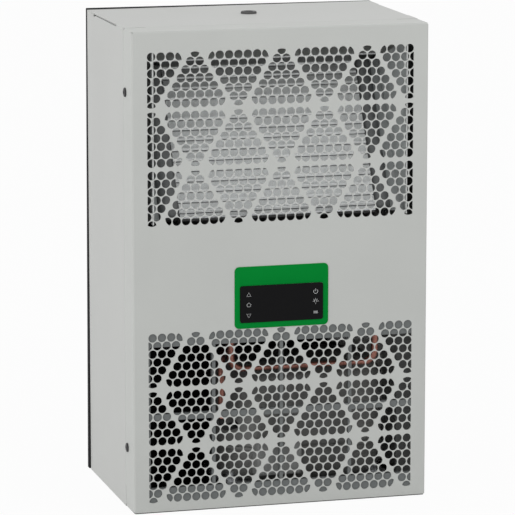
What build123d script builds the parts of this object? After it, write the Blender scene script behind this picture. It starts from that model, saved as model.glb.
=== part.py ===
"""Side-mounted cooling unit for an electrical enclosure.

Millimetres. X runs to the right, Y runs from the front cover to the rear gasket, Z is up.
The origin is the middle of the footprint, on the level that the unit stands on.
Heights are given from the top edge and depths from the front face, as the unit is drawn.
"""
from build123d import *
import math
import os

# Overall case
WIDTH = 260.0
HEIGHT = 414.0
COVER_DEPTH = 31.0
CHASSIS_DEPTH = 139.0
GASKET_THICKNESS = 6.0
SHEET = 1.2
BEND_RADIUS = 2.4
SEAT_GAP = 0.1

# Perforation: triangular fields of round holes in a hexagonal lattice
HOLE_PITCH = 8.124
HOLE_DIAMETER = 7.5
HOLE_SIDES = 6
FIELD_ROWS = 7
FIELD_SPACING = 75.5
BAND_PITCH = 50.29
BANDS = 3
FIELD_OFFSET = 2.5
CORNER_CLIP = 0.8
SMALLEST_HOLE = 5.0
GRILLE_HALF_WIDTH = 117.0
GRILLE_MARGIN = 3.0
UPPER_GRILLE_TOP = 18.9
LOWER_GRILLE_TOP = 258.72

# Cover fixings
SCREW_INSET = 53.5
SCREW_DEPTH = 24.0
SCREW_HOLE_RADIUS = 3.2
SCREW_HEAD_RADIUS = 4.0
SCREW_HEAD_HEIGHT = 1.6
SCREW_LENGTH = 7.0
CORNER_RELIEF_LENGTH = 18.0
CORNER_RELIEF_WIDTH = 1.0

# Operating panel
LABEL_WIDTH = 83.0
LABEL_HEIGHT = 53.6
LABEL_TOP = 203.5
LABEL_THICKNESS = 0.5
LABEL_CORNER = 4.0
WINDOW_WIDTH = 73.5
WINDOW_HEIGHT = 31.9
WINDOW_TOP = 220.2
WINDOW_THICKNESS = 1.2
WINDOW_CORNER = 2.0
CONTROLLER_WIDTH = 71.0
CONTROLLER_HEIGHT = 29.0
CONTROLLER_DEPTH = 46.0
CONNECTOR_WIDTH = 56.8
CONNECTOR_DEPTH = 11.5
CONNECTOR_HEIGHT = 9.7
CONTROLLER_CLEARANCE = 0.25

# Chassis
FRONT_LIP = 17.0
REAR_LIP = 14.0
PANEL_LIP = 8.0
SLIT_START = 56.0
SLIT_END = 144.0
SLIT_WIDTH = 1.6
SLIT_DROP = 0.4
SLIT_NOTCH = 8.0
NOTCH_WIDTH = 2.6
NOTCH_DROP = 1.5
LIFTING_DEPTH = 106.0
LIFTING_NUT_RADIUS = 5.9
LIFTING_THREAD_RADIUS = 4.0
LIFTING_NUT_LENGTH = 14.0
LIFTING_HEAD_RADIUS = 8.0

# Rear wall with its air openings
INSERT_SPACING_X = 224.0
INSERT_SPACING_Z = 372.0
INSERT_RADIUS = 4.5
INSERT_THREAD_RADIUS = 3.0
INSERT_LENGTH = 15.0
INLET_RADIUS = 56.0
INLET_CENTRE = 98.0
OUTLET_WIDTH = 190.0
OUTLET_HEIGHT = 62.0
OUTLET_CENTRE = 344.0
OUTLET_CORNER = 6.0
GASKET_BAND = 9.0

# Inner wall between the two air paths
PARTITION_DEPTH = 122.0

# Inclined condenser behind the upper grille
COIL_WIDTH = 173.0
COIL_BOTTOM = 160.0
COIL_TOP = 37.0
COIL_BOTTOM_DEPTH = 10.0
COIL_TOP_DEPTH = 76.0
COIL_THICKNESS = 16.0
TUBE_COUNT = 15
TUBE_THICKNESS = 2.0
TUBE_OVERHANG = 1.2
HEADER_RADIUS = 8.0
HEADER_CAP = 5.0
BLANKOFF_GAP = 0.7
BAFFLE_DEPTH = 1.6
BAFFLE_TOP = 12.0

# Dust frame behind the lower grille
DUST_FRAME_DEPTH = 4.0
DUST_FRAME_LEFT = 14.7
DUST_FRAME_RIGHT = 237.0
DUST_FRAME_TOP = 252.0
DUST_FRAME_BORDER_TOP = 16.5
DUST_FRAME_MIDDLE = 330.5
DUST_FRAME_MIDDLE_WIDTH = 5.0
DUST_FRAME_BOTTOM = 405.0
DUST_FRAME_BORDER_BOTTOM = 12.4
DUST_FRAME_SIDE = 5.0
DUST_FRAME_BAR = 3.0
DUST_FRAME_BARS = (70.4, 130.4, 191.7)

# Compressor
COMPRESSOR_X = 32.0
COMPRESSOR_DEPTH = 70.0
COMPRESSOR_WIDTH = 150.0
COMPRESSOR_LENGTH = 92.0
COMPRESSOR_PLAN_RADIUS = 44.0
COMPRESSOR_TOP = 296.0
COMPRESSOR_SEAM = 370.0
COMPRESSOR_BOTTOM = 400.0
SEAM_OVERHANG = 2.5
SEAM_THICKNESS = 3.0
SHELL_TOP_RADIUS = 20.0
SHELL_BOTTOM_RADIUS = 10.0
FOOT_SPACING_X = 130.0
FOOT_SPACING_Y = 56.0
FOOT_PLATE = 2.5
GROMMET_RADIUS = 8.0
FOOT_PLATE_MARGIN = 10.0
FOOT_STUD_RADIUS = 3.0
TERMINAL_X = 2.0
TERMINAL_WIDTH = 40.0
TERMINAL_HEIGHT = 30.0
TERMINAL_TOP = 361.0
TERMINAL_DEPTH = 13.0
RELAY_X = 91.0
RELAY_WIDTH = 42.0
RELAY_LENGTH = 32.0
RELAY_HEIGHT = 24.0
RELAY_BOTTOM = 293.0

# Refrigerant pipes
PIPE_RADIUS = 3.0
PIPE_BEND = 10.0
LOOP_LEFT = 90.5
LOOP_RIGHT = 219.5
LOOP_LEVEL = 294.0
LOOP_TOP = 200.0
LOOP_DEPTH = 20.0
SUCTION_LEFT = 83.7
SUCTION_REAR = 115.4
SUCTION_DEPTH = 26.0
SUCTION_TOP = 288.0
SUCTION_BOTTOM = 350.0
DRIER_RADIUS = 9.0
DRIER_LENGTH = 58.0
DRIER_TOP = 182.0
LIQUID_RUN = 7.0
LIQUID_BEND = 4.5

# Rear air path
EVAPORATOR_THICKNESS = 22.0
EVAPORATOR_WIDTH = 200.0
EVAPORATOR_HEIGHT = 120.0
EVAPORATOR_TOP = 222.0
EVAPORATOR_SLOTS = 11
TRAY_HEIGHT = 16.0
TRAY_WALL = 1.5
FAN_SIZE = 119.0
FAN_DEPTH = 25.0
FAN_HUB_RADIUS = 20.0
FAN_TIP_RADIUS = 52.0
FAN_BORE_RADIUS = 54.0
FAN_BLADES = 7
BLADE_THICKNESS = 1.6
BLADE_TILT = 32.0
GUARD_RINGS = (18.0, 30.0, 42.0, 54.0)
GUARD_WIRE = 1.8
GUARD_ARM = 66.0
LOUVRE_COUNT = 7
LOUVRE_THICKNESS = 1.5
LOUVRE_TILT = 35.0
LOUVRE_CHORD = 9.0

# Values worked out from the sizes above
DEPTH = WINDOW_THICKNESS + COVER_DEPTH + CHASSIS_DEPTH + GASKET_THICKNESS
FRONT_Y = WINDOW_THICKNESS - DEPTH / 2
JOINT_Y = FRONT_Y + COVER_DEPTH
BACK_Y = JOINT_Y + CHASSIS_DEPTH
ROW_PITCH = HOLE_PITCH * math.sqrt(3) / 2
FIELD_HEIGHT = (FIELD_ROWS - 1) * ROW_PITCH
HALF_WIDTH = WIDTH / 2
PARTITION_Y = FRONT_Y + PARTITION_DEPTH

Place = tuple[float, float]


def across(from_left: float) -> float:
    """X of a place measured from the left edge."""
    return from_left - HALF_WIDTH


def level(from_top: float) -> float:
    """Z of a place measured down from the top edge."""
    return HEIGHT - from_top


def behind(depth: float) -> float:
    """Y of a place measured back from the front face."""
    return FRONT_Y + depth


def block(size_x, size_y, size_z, centre_x, low_y, low_z):
    """A plain block given by its middle in X and its low ends in Y and Z."""
    box = Box(size_x, size_y, size_z, align=(Align.CENTER, Align.MIN, Align.MIN))
    return Pos(centre_x, low_y, low_z) * box


def rod(radius, length, centre, direction):
    """A cylinder that starts at a centre and runs along a direction."""
    plane = Plane(origin=centre, z_dir=direction)
    return plane * Cylinder(radius, length, align=(Align.CENTER, Align.CENTER, Align.MIN))


def tube_along(points, bend, radius):
    """A round tube of straight runs joined by tangent bends."""
    path = Wire(FilletPolyline(*points, radius=bend).edges())
    section = Plane(origin=path @ 0, z_dir=path % 0) * Circle(radius)
    return sweep(section, path=path)


def folded(points, length, start_z):
    """A vertical folded sheet whose outer face follows the points, sheet to their left."""
    outline = Wire(FilletPolyline(*points, radius=BEND_RADIUS).edges())
    section = Face(outline.offset_2d(SHEET, side=Side.LEFT, closed=True))
    return Pos(0, 0, start_z) * extrude(section, length, dir=(0, 0, 1))


# Perforated sheets

def clipped(outline: list[Place], normal: Place, limit: float) -> list[Place]:
    """The part of a convex outline that lies below a limit along a normal."""
    kept = []
    for start, end in zip(outline, outline[1:] + outline[:1]):
        before = start[0] * normal[0] + start[1] * normal[1] - limit
        after = end[0] * normal[0] + end[1] * normal[1] - limit
        if before <= 0:
            kept.append(start)
        if before * after < 0:
            share = before / (before - after)
            kept.append(
                (start[0] + share * (end[0] - start[0]), start[1] + share * (end[1] - start[1]))
            )
    return kept


def hole_outline(centre: Place) -> list[Place]:
    """A hole as a regular polygon with the area of the round hole."""
    turn = 2 * math.pi / HOLE_SIDES
    radius = HOLE_DIAMETER / 2 * math.sqrt(turn / math.sin(turn))
    corners = []
    for index in range(HOLE_SIDES):
        angle = turn * (index + 0.5)
        corners.append((centre[0] + radius * math.cos(angle), centre[1] + radius * math.sin(angle)))
    return corners


def field_holes(centre_x: float, apex_z: float, pointing: int) -> list[list[Place]]:
    """The holes of one triangular field; pointing is 1 for apex up and -1 for apex down."""
    middle_z = apex_z - pointing * FIELD_HEIGHT * 2 / 3
    reach = FIELD_HEIGHT / 3 * 2 + CORNER_CLIP
    corner_normals = [
        (math.sin(math.radians(turn)), pointing * math.cos(math.radians(turn)))
        for turn in (0, 120, 240)
    ]
    holes = []
    for row in range(FIELD_ROWS):
        row_z = apex_z - pointing * row * ROW_PITCH
        for place in range(row + 1):
            centre = (centre_x + (place - row / 2) * HOLE_PITCH, row_z)
            outline = hole_outline(centre)
            for normal in corner_normals:
                limit = centre_x * normal[0] + middle_z * normal[1] + reach
                outline = clipped(outline, normal, limit)
            for side in (-1, 1):
                outline = clipped(outline, (side, 0), GRILLE_HALF_WIDTH)
            if polygon_area(outline) > SMALLEST_HOLE:
                holes.append(outline)
    return holes


def polygon_area(outline: list[Place]) -> float:
    """Area inside an outline."""
    total = 0.0
    for start, end in zip(outline, outline[1:] + outline[:1]):
        total += start[0] * end[1] - end[0] * start[1]
    return abs(total) / 2


def grille_holes(top: float) -> list[list[Place]]:
    """All holes of a grille whose first row lies at a height from the top."""
    holes = []
    for band in range(BANDS):
        band_top = level(top + band * BAND_PITCH)
        middle_points = 1 if band % 2 == 0 else -1
        for step in range(-3, 4):
            pointing = middle_points if step % 2 == 0 else -middle_points
            if pointing > 0:
                apex_z = band_top
            else:
                apex_z = band_top - FIELD_OFFSET - FIELD_HEIGHT
            holes += field_holes(step * FIELD_SPACING / 2, apex_z, pointing)
    return holes


def grille_levels(top: float) -> tuple[float, float]:
    """Low and high edge of the sheet that carries a grille."""
    high = level(top) + CORNER_CLIP + GRILLE_MARGIN
    hole_bottom = top + (BANDS - 1) * BAND_PITCH + FIELD_OFFSET + FIELD_HEIGHT + CORNER_CLIP
    return level(hole_bottom) - GRILLE_MARGIN, high


def front_wire(outline: list[Place]) -> Wire:
    """A closed wire on the front face."""
    corners = [(x, FRONT_Y, z) for x, z in outline]
    return Wire(Polyline(*corners, close=True).edges())


def perforated_sheet(top: float):
    """A flat sheet with all holes of a grille punched through it."""
    low, high = grille_levels(top)
    half = GRILLE_HALF_WIDTH + GRILLE_MARGIN
    edge = front_wire([(-half, low), (half, low), (half, high), (-half, high)])
    sheet = Face(edge, [front_wire(outline) for outline in grille_holes(top)])
    return extrude(sheet, SHEET, dir=(0, 1, 0))


# Front cover

def window_cut(top: float):
    """The opening in the cover that a perforated sheet fills."""
    low, high = grille_levels(top)
    width = 2 * (GRILLE_HALF_WIDTH + GRILLE_MARGIN + SEAT_GAP)
    return block(width, 3 * SHEET, high - low + 2 * SEAT_GAP, 0, FRONT_Y - SHEET, low - SEAT_GAP)


def front_cover():
    """Shallow folded tray with its windows, screw holes and corner reliefs."""
    body = block(WIDTH, COVER_DEPTH, HEIGHT, 0, FRONT_Y, 0)
    body = fillet(body.faces().sort_by(Axis.Y)[0].edges(), BEND_RADIUS)
    body = offset(body, -SHEET, openings=body.faces().sort_by(Axis.Y)[-1])
    for top in (UPPER_GRILLE_TOP, LOWER_GRILLE_TOP):
        body -= window_cut(top)
    cutout_height = CONTROLLER_HEIGHT + 2 * CONTROLLER_CLEARANCE
    window_middle = WINDOW_TOP + WINDOW_HEIGHT / 2
    body -= block(
        CONTROLLER_WIDTH + 2 * CONTROLLER_CLEARANCE,
        3 * SHEET,
        cutout_height,
        0,
        FRONT_Y - SHEET,
        level(window_middle) - cutout_height / 2,
    )
    for side in (-1, 1):
        for height in (SCREW_INSET, HEIGHT - SCREW_INSET):
            centre = (side * (HALF_WIDTH + SHEET), behind(SCREW_DEPTH), height)
            body -= rod(SCREW_HOLE_RADIUS, 3 * SHEET, centre, (-side, 0, 0))
        for low in (0, HEIGHT - SHEET):
            relief_x = side * (HALF_WIDTH - CORNER_RELIEF_LENGTH / 2)
            body -= block(
                CORNER_RELIEF_LENGTH, CORNER_RELIEF_WIDTH, SHEET, relief_x, JOINT_Y - CORNER_RELIEF_WIDTH, low
            )
    return body


def cover_screws():
    """Four pan-head screws that hold the cover's side flanges."""
    screws = []
    for side in (-1, 1):
        for height in (SCREW_INSET, HEIGHT - SCREW_INSET):
            seat = (side * HALF_WIDTH, behind(SCREW_DEPTH), height)
            head = rod(SCREW_HEAD_RADIUS, SCREW_HEAD_HEIGHT, seat, (side, 0, 0))
            head = fillet(head.edges().group_by(Axis.X)[-1 if side > 0 else 0], SCREW_HEAD_HEIGHT / 2)
            shank = rod(SCREW_HOLE_RADIUS - SEAT_GAP, SCREW_LENGTH, seat, (-side, 0, 0))
            screws.append(head + shank)
    return Compound(screws)


# Operating panel

def front_plate(width, height, corner, thickness, top):
    """A thin plate with rounded corners that lies on the front face."""
    middle = Plane(origin=(0, FRONT_Y, level(top + height / 2)), x_dir=(1, 0, 0), z_dir=(0, -1, 0))
    return extrude(middle * RectangleRounded(width, height, corner), thickness)


def control_label():
    """Coloured surround with the opening for the controller's front."""
    plate = front_plate(LABEL_WIDTH, LABEL_HEIGHT, LABEL_CORNER, LABEL_THICKNESS, LABEL_TOP)
    opening = front_plate(
        WINDOW_WIDTH + 2 * SEAT_GAP,
        WINDOW_HEIGHT + 2 * SEAT_GAP,
        WINDOW_CORNER + SEAT_GAP,
        LABEL_THICKNESS,
        WINDOW_TOP - SEAT_GAP,
    )
    return plate - opening


def controller_window():
    """Flat front of the controller with a softened rim."""
    plate = front_plate(WINDOW_WIDTH, WINDOW_HEIGHT, WINDOW_CORNER, WINDOW_THICKNESS, WINDOW_TOP)
    return fillet(plate.faces().sort_by(Axis.Y)[0].edges(), WINDOW_THICKNESS / 3)


def controller_body():
    """Housing of the controller behind the cover, with its connector step."""
    low = level(WINDOW_TOP + WINDOW_HEIGHT / 2) - CONTROLLER_HEIGHT / 2
    housing = block(CONTROLLER_WIDTH, CONTROLLER_DEPTH, CONTROLLER_HEIGHT, 0, FRONT_Y, low)
    step = block(
        CONNECTOR_WIDTH,
        CONNECTOR_DEPTH,
        CONNECTOR_HEIGHT,
        0,
        behind(CONTROLLER_DEPTH - CONNECTOR_DEPTH),
        low,
    )
    return housing - step


# Chassis

def side_panel(side: int):
    """Side sheet with a front lip behind the cover and a rear lip for the back wall."""
    wall = HALF_WIDTH
    points = [
        (wall - FRONT_LIP, JOINT_Y + SEAT_GAP),
        (wall, JOINT_Y + SEAT_GAP),
        (wall, BACK_Y),
        (wall - REAR_LIP, BACK_Y),
    ]
    panel = folded(points, HEIGHT - 2 * SHEET, SHEET)
    for start, drop in ((SLIT_START, SLIT_DROP), (SLIT_END - SLIT_NOTCH, NOTCH_DROP)):
        low = HEIGHT - SHEET - drop
        panel -= block(3 * SHEET, SLIT_END - start, 2 * drop, wall, behind(start), low)
    if side < 0:
        panel = mirror(panel, about=Plane.YZ)
    return panel


def flat_panel(low_z, lip_up):
    """Top or bottom sheet over the side sheets, with a lip behind the cover."""
    front = JOINT_Y + SEAT_GAP
    panel = block(WIDTH, BACK_Y - front, SHEET, 0, front, low_z)
    panel = fillet(panel.edges().filter_by(Axis.Z), BEND_RADIUS)
    lip_width = WIDTH - 2 * (FRONT_LIP + SHEET)
    lip_low = low_z if lip_up else low_z + SHEET - PANEL_LIP
    lip = block(lip_width, SHEET, PANEL_LIP, 0, front, lip_low)
    return panel + lip


def top_panel():
    """Top sheet with the relief slits at its sides and the lifting hole."""
    panel = flat_panel(HEIGHT - SHEET, False)
    edge = HALF_WIDTH
    for side in (-1, 1):
        slit_middle = side * (edge - SLIT_WIDTH / 2)
        panel -= block(
            SLIT_WIDTH, SLIT_END - SLIT_START, 3 * SHEET, slit_middle, behind(SLIT_START), HEIGHT - 2 * SHEET
        )
        corners = [
            (side * edge, behind(SLIT_END - SLIT_NOTCH)),
            (side * edge, behind(SLIT_END)),
            (side * (edge - NOTCH_WIDTH), behind(SLIT_END)),
        ]
        notch = make_face(Polyline(*corners, close=True))
        panel -= Pos(0, 0, HEIGHT - 2 * SHEET) * extrude(notch, 3 * SHEET, dir=(0, 0, 1))
    centre = (0, behind(LIFTING_DEPTH), HEIGHT - 2 * SHEET)
    return panel - rod(LIFTING_NUT_RADIUS + SEAT_GAP, 3 * SHEET, centre, (0, 0, 1))


def bottom_panel():
    """Bottom sheet."""
    return flat_panel(0, True)


def lifting_nut():
    """Threaded insert in the top sheet, with its flange under the sheet."""
    seat = HEIGHT - SHEET - SEAT_GAP
    barrel = rod(LIFTING_NUT_RADIUS, LIFTING_NUT_LENGTH, (0, behind(LIFTING_DEPTH), HEIGHT), (0, 0, -1))
    flange = rod(LIFTING_HEAD_RADIUS, SHEET, (0, behind(LIFTING_DEPTH), seat), (0, 0, -1))
    thread = rod(LIFTING_THREAD_RADIUS, LIFTING_NUT_LENGTH, (0, behind(LIFTING_DEPTH), HEIGHT), (0, 0, -1))
    return barrel + flange - thread


def insert_places():
    """Places of the four rear fixings."""
    places = []
    for side in (-1, 1):
        for end in (-1, 1):
            places.append((side * INSERT_SPACING_X / 2, HEIGHT / 2 + end * INSERT_SPACING_Z / 2))
    return places


def back_plane(z):
    """Plane on the back wall's outer face at a height, looking to the rear."""
    return Plane(origin=(0, BACK_Y - SHEET - SEAT_GAP, z), x_dir=(1, 0, 0), z_dir=(0, -1, 0))


def back_panel():
    """Back wall inside the side lips with the two air openings and the fixing holes."""
    width = WIDTH - 2 * (BEND_RADIUS + SEAT_GAP)
    height = HEIGHT - 2 * (SHEET + SEAT_GAP)
    rear = BACK_Y - SHEET - SEAT_GAP
    wall = block(width, SHEET, height, 0, rear - SHEET, SHEET + SEAT_GAP)
    wall -= rod(INLET_RADIUS, 3 * SHEET, (0, rear - 2 * SHEET, level(INLET_CENTRE)), (0, 1, 0))
    outlet = back_plane(level(OUTLET_CENTRE)) * RectangleRounded(OUTLET_WIDTH, OUTLET_HEIGHT, OUTLET_CORNER)
    wall -= extrude(outlet, 2 * SHEET, both=True)
    for x, z in insert_places():
        wall -= rod(INSERT_RADIUS + SEAT_GAP, 3 * SHEET, (x, rear - 2 * SHEET, z), (0, 1, 0))
    return wall


def mounting_inserts():
    """Four threaded inserts in the back wall."""
    rear = BACK_Y - SHEET - SEAT_GAP
    inserts = []
    for x, z in insert_places():
        barrel = rod(INSERT_RADIUS, INSERT_LENGTH, (x, rear, z), (0, -1, 0))
        flange = rod(INSERT_RADIUS + 2 * SHEET, SHEET, (x, rear - SHEET - SEAT_GAP, z), (0, -1, 0))
        thread = rod(INSERT_THREAD_RADIUS, INSERT_LENGTH, (x, rear, z), (0, -1, 0))
        inserts.append(barrel + flange - thread)
    return Compound(inserts)


def rear_gasket():
    """Foam seal round the rear edge."""
    outer = block(WIDTH, GASKET_THICKNESS, HEIGHT, 0, BACK_Y, 0)
    inner = block(
        WIDTH - 2 * GASKET_BAND, GASKET_THICKNESS, HEIGHT - 2 * GASKET_BAND, 0, BACK_Y, GASKET_BAND
    )
    return outer - inner


def partition():
    """Wall between the ambient air path and the enclosure air path."""
    width = WIDTH - 2 * (SHEET + SEAT_GAP)
    height = HEIGHT - 2 * (SHEET + SEAT_GAP)
    return block(width, SHEET, height, 0, PARTITION_Y, SHEET + SEAT_GAP)


# Condenser

def coil_plane():
    """Plane on the coil's front face: X across, Y up the slope, normal to the front."""
    rise = COIL_BOTTOM - COIL_TOP
    run = COIL_TOP_DEPTH - COIL_BOTTOM_DEPTH
    lean = math.atan2(run, rise)
    normal = (0, -math.cos(lean), math.sin(lean))
    origin = (0, behind(COIL_BOTTOM_DEPTH), level(COIL_BOTTOM))
    return Plane(origin=origin, x_dir=(1, 0, 0), z_dir=normal)


def coil_length():
    """Length of the coil up its slope."""
    return math.hypot(COIL_BOTTOM - COIL_TOP, COIL_TOP_DEPTH - COIL_BOTTOM_DEPTH)


def tube_pitch():
    """Distance from tube to tube up the slope."""
    return coil_length() / TUBE_COUNT


def coil_block(width, low, length, proud, thickness, centre=0.0):
    """A block on the coil plane, from a low end up the slope."""
    box = Box(width, length, thickness, align=(Align.CENTER, Align.MIN, Align.MAX))
    return coil_plane() * Pos(centre, low, proud) * box


def condenser_core():
    """Fin packs with the flat tubes that stand proud between them."""
    core = coil_block(COIL_WIDTH, 0, coil_length(), 0, COIL_THICKNESS)
    for index in range(TUBE_COUNT):
        low = (index + 0.5) * tube_pitch() - TUBE_THICKNESS / 2
        core += coil_block(
            COIL_WIDTH, low, TUBE_THICKNESS, TUBE_OVERHANG, COIL_THICKNESS + 2 * TUBE_OVERHANG
        )
    return core


def header_foot(side: int):
    """Middle of a header's lower end."""
    centre = side * (COIL_WIDTH / 2 + HEADER_RADIUS + SEAT_GAP)
    return coil_plane().from_local_coords(Vector(centre, 0, -COIL_THICKNESS / 2))


def condenser_header(side: int):
    """Round header tube at one end of the flat tubes."""
    centre = side * (COIL_WIDTH / 2 + HEADER_RADIUS + SEAT_GAP)
    tube = Cylinder(HEADER_RADIUS, coil_length(), align=(Align.CENTER, Align.CENTER, Align.MIN))
    tube = fillet(tube.edges(), HEADER_CAP)
    return coil_plane() * Pos(centre, 0, -COIL_THICKNESS / 2) * Rot(-90, 0, 0) * tube


def coil_blankoff(side: int):
    """Plate beside a header, with a baffle folded forward from it to the cover."""
    inner = COIL_WIDTH / 2 + 2 * HEADER_RADIUS + 2 * SEAT_GAP
    outer = HALF_WIDTH - FRONT_LIP - BLANKOFF_GAP
    plate = coil_block(
        outer - inner, 0, coil_length(), -COIL_THICKNESS / 2, SHEET, side * (inner + outer) / 2
    )
    rear = -COIL_THICKNESS / 2 - SHEET
    foot = coil_plane().from_local_coords(Vector(0, 0, rear))
    head = coil_plane().from_local_coords(Vector(0, coil_length(), rear))
    front = behind(BAFFLE_DEPTH)
    corners = [(front, foot.Z), (foot.Y, foot.Z), (head.Y, head.Z), (front, level(BAFFLE_TOP))]
    outline = Wire(Polyline(*[(0, y, z) for y, z in corners], close=True).edges())
    baffle = extrude(Face(outline), SHEET, dir=(1, 0, 0))
    low_x = outer - SHEET if side > 0 else -outer
    return plate + Pos(low_x, 0, 0) * baffle


def coil_tray():
    """Folded channel that the coil stands in, between the headers."""
    width = COIL_WIDTH
    floor = coil_block(width, -SHEET - SEAT_GAP, SHEET, 0, COIL_THICKNESS)
    lip = coil_block(width, -SHEET - SEAT_GAP, PANEL_LIP, -COIL_THICKNESS - TUBE_OVERHANG - SEAT_GAP, SHEET)
    link = coil_block(
        width, -SHEET - SEAT_GAP, SHEET, -COIL_THICKNESS, TUBE_OVERHANG + SEAT_GAP + SHEET
    )
    return floor + link + lip


def coil_cap():
    """Plate from the coil's top edge to the partition."""
    top_y = behind(COIL_TOP_DEPTH)
    low = level(COIL_TOP) + TUBE_OVERHANG + SEAT_GAP
    length = PARTITION_Y - top_y - SEAT_GAP
    return block(WIDTH - 2 * (SHEET + BLANKOFF_GAP), length, SHEET, 0, top_y, low)


# Dust frame

def dust_frame():
    """Moulded frame with two rows of windows, behind the lower grille."""
    left = across(DUST_FRAME_LEFT) - DUST_FRAME_SIDE
    right = across(DUST_FRAME_RIGHT) + DUST_FRAME_SIDE
    high = level(DUST_FRAME_TOP)
    low = level(DUST_FRAME_BOTTOM)
    back = FRONT_Y + SHEET + SEAT_GAP
    frame = block(right - left, DUST_FRAME_DEPTH, high - low, (left + right) / 2, back, low)
    bars = [across(place) for place in DUST_FRAME_BARS]
    starts = [left + DUST_FRAME_SIDE] + [bar + DUST_FRAME_BAR / 2 for bar in bars]
    ends = [bar - DUST_FRAME_BAR / 2 for bar in bars] + [right - DUST_FRAME_SIDE]
    middle = level(DUST_FRAME_MIDDLE)
    rows = [
        (low + DUST_FRAME_BORDER_BOTTOM, middle - DUST_FRAME_MIDDLE_WIDTH / 2),
        (middle + DUST_FRAME_MIDDLE_WIDTH / 2, high - DUST_FRAME_BORDER_TOP),
    ]
    for start, end in zip(starts, ends):
        for row_low, row_high in rows:
            frame -= block(
                end - start, DUST_FRAME_DEPTH, row_high - row_low, (start + end) / 2, back, row_low
            )
    return frame


# Compressor

def compressor_slice(margin, low, high):
    """Upright slice of the compressor's rounded plan, grown by a margin."""
    plan = RectangleRounded(
        COMPRESSOR_WIDTH + 2 * margin, COMPRESSOR_LENGTH + 2 * margin, COMPRESSOR_PLAN_RADIUS + margin
    )
    place = Pos(COMPRESSOR_X, behind(COMPRESSOR_DEPTH), low)
    return place * extrude(plan, high - low)


def compressor_upper_shell():
    """Upper half of the steel shell with its domed shoulder."""
    shell = compressor_slice(0, level(COMPRESSOR_SEAM) + SEAM_THICKNESS / 2, level(COMPRESSOR_TOP))
    return fillet(shell.faces().sort_by(Axis.Z)[-1].edges(), SHELL_TOP_RADIUS)


def compressor_seam():
    """Welded flange round the shell."""
    middle = level(COMPRESSOR_SEAM)
    ring = compressor_slice(SEAM_OVERHANG, middle - SEAM_THICKNESS / 2, middle + SEAM_THICKNESS / 2)
    return fillet(ring.edges().filter_by(GeomType.LINE, reverse=True), SEAM_THICKNESS / 4)


def compressor_lower_shell():
    """Lower half of the steel shell."""
    shell = compressor_slice(0, level(COMPRESSOR_BOTTOM), level(COMPRESSOR_SEAM) - SEAM_THICKNESS / 2)
    return fillet(shell.faces().sort_by(Axis.Z)[0].edges(), SHELL_BOTTOM_RADIUS)


def foot_places():
    """Places of the compressor's four feet."""
    middle_y = behind(COMPRESSOR_DEPTH)
    places = []
    for side in (-1, 1):
        for end in (-1, 1):
            x = COMPRESSOR_X + side * FOOT_SPACING_X / 2
            places.append((x, middle_y + end * FOOT_SPACING_Y / 2))
    return places


def compressor_base():
    """Foot plate welded under the shell, with a hole over each grommet."""
    high = level(COMPRESSOR_BOTTOM)
    size_x = FOOT_SPACING_X + 2 * FOOT_PLATE_MARGIN
    size_y = FOOT_SPACING_Y + 2 * FOOT_PLATE_MARGIN
    plan = RectangleRounded(size_x, size_y, GROMMET_RADIUS)
    plate = Pos(COMPRESSOR_X, behind(COMPRESSOR_DEPTH), high - FOOT_PLATE) * extrude(plan, FOOT_PLATE)
    for x, y in foot_places():
        plate -= rod(FOOT_STUD_RADIUS + SEAT_GAP, 3 * FOOT_PLATE, (x, y, high - 2 * FOOT_PLATE), (0, 0, 1))
    return plate


def compressor_grommets():
    """Four rubber feet between the bottom sheet and the foot plate."""
    top = level(COMPRESSOR_BOTTOM) - FOOT_PLATE
    feet = []
    for x, y in foot_places():
        foot = rod(GROMMET_RADIUS, top - SHEET, (x, y, SHEET), (0, 0, 1))
        foot -= rod(FOOT_STUD_RADIUS + SEAT_GAP, top - SHEET, (x, y, SHEET), (0, 0, 1))
        feet.append(foot)
    return Compound(feet)


def compressor_studs():
    """Four studs on the bottom sheet that pass through the rubber feet."""
    top = level(COMPRESSOR_BOTTOM) + SHEET
    return Compound([rod(FOOT_STUD_RADIUS, top - SHEET, (x, y, SHEET), (0, 0, 1)) for x, y in foot_places()])


def terminal_cover():
    """Cover over the electrical terminals, shaped to the compressor's front and its seam."""
    shell_front = behind(COMPRESSOR_DEPTH) - COMPRESSOR_LENGTH / 2
    low = level(TERMINAL_TOP) - TERMINAL_HEIGHT
    length = TERMINAL_DEPTH + COMPRESSOR_PLAN_RADIUS / 5
    cover = block(
        TERMINAL_WIDTH, length, TERMINAL_HEIGHT, TERMINAL_X, shell_front - TERMINAL_DEPTH, low
    )
    cover = fillet(cover.faces().sort_by(Axis.Y)[0].edges(), TERMINAL_DEPTH / 4)
    cover -= compressor_slice(0, low, low + TERMINAL_HEIGHT)
    seam = level(COMPRESSOR_SEAM)
    half = SEAM_THICKNESS / 2 + SEAT_GAP
    return cover - compressor_slice(SEAM_OVERHANG + SEAT_GAP, seam - half, seam + half)


def relay_box():
    """Box with the starting relay, on the inner wall over the compressor."""
    front = PARTITION_Y - RELAY_LENGTH
    box = block(RELAY_WIDTH, RELAY_LENGTH, RELAY_HEIGHT, RELAY_X, front, level(RELAY_BOTTOM))
    return fillet(box.faces().sort_by(Axis.Y)[0].edges(), BEND_RADIUS)


# Pipes

def loop_pipe():
    """Pipe from the inner wall that comes down at the left, crosses in front and rises."""
    y = behind(LOOP_DEPTH)
    points = [
        (across(LOOP_LEFT), PARTITION_Y, level(LOOP_TOP)),
        (across(LOOP_LEFT), y, level(LOOP_TOP)),
        (across(LOOP_LEFT), y, level(LOOP_LEVEL)),
        (across(LOOP_RIGHT), y, level(LOOP_LEVEL)),
        (across(LOOP_RIGHT), y, level(DRIER_TOP) - DRIER_LENGTH),
    ]
    return tube_along(points, PIPE_BEND, PIPE_RADIUS)


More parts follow.
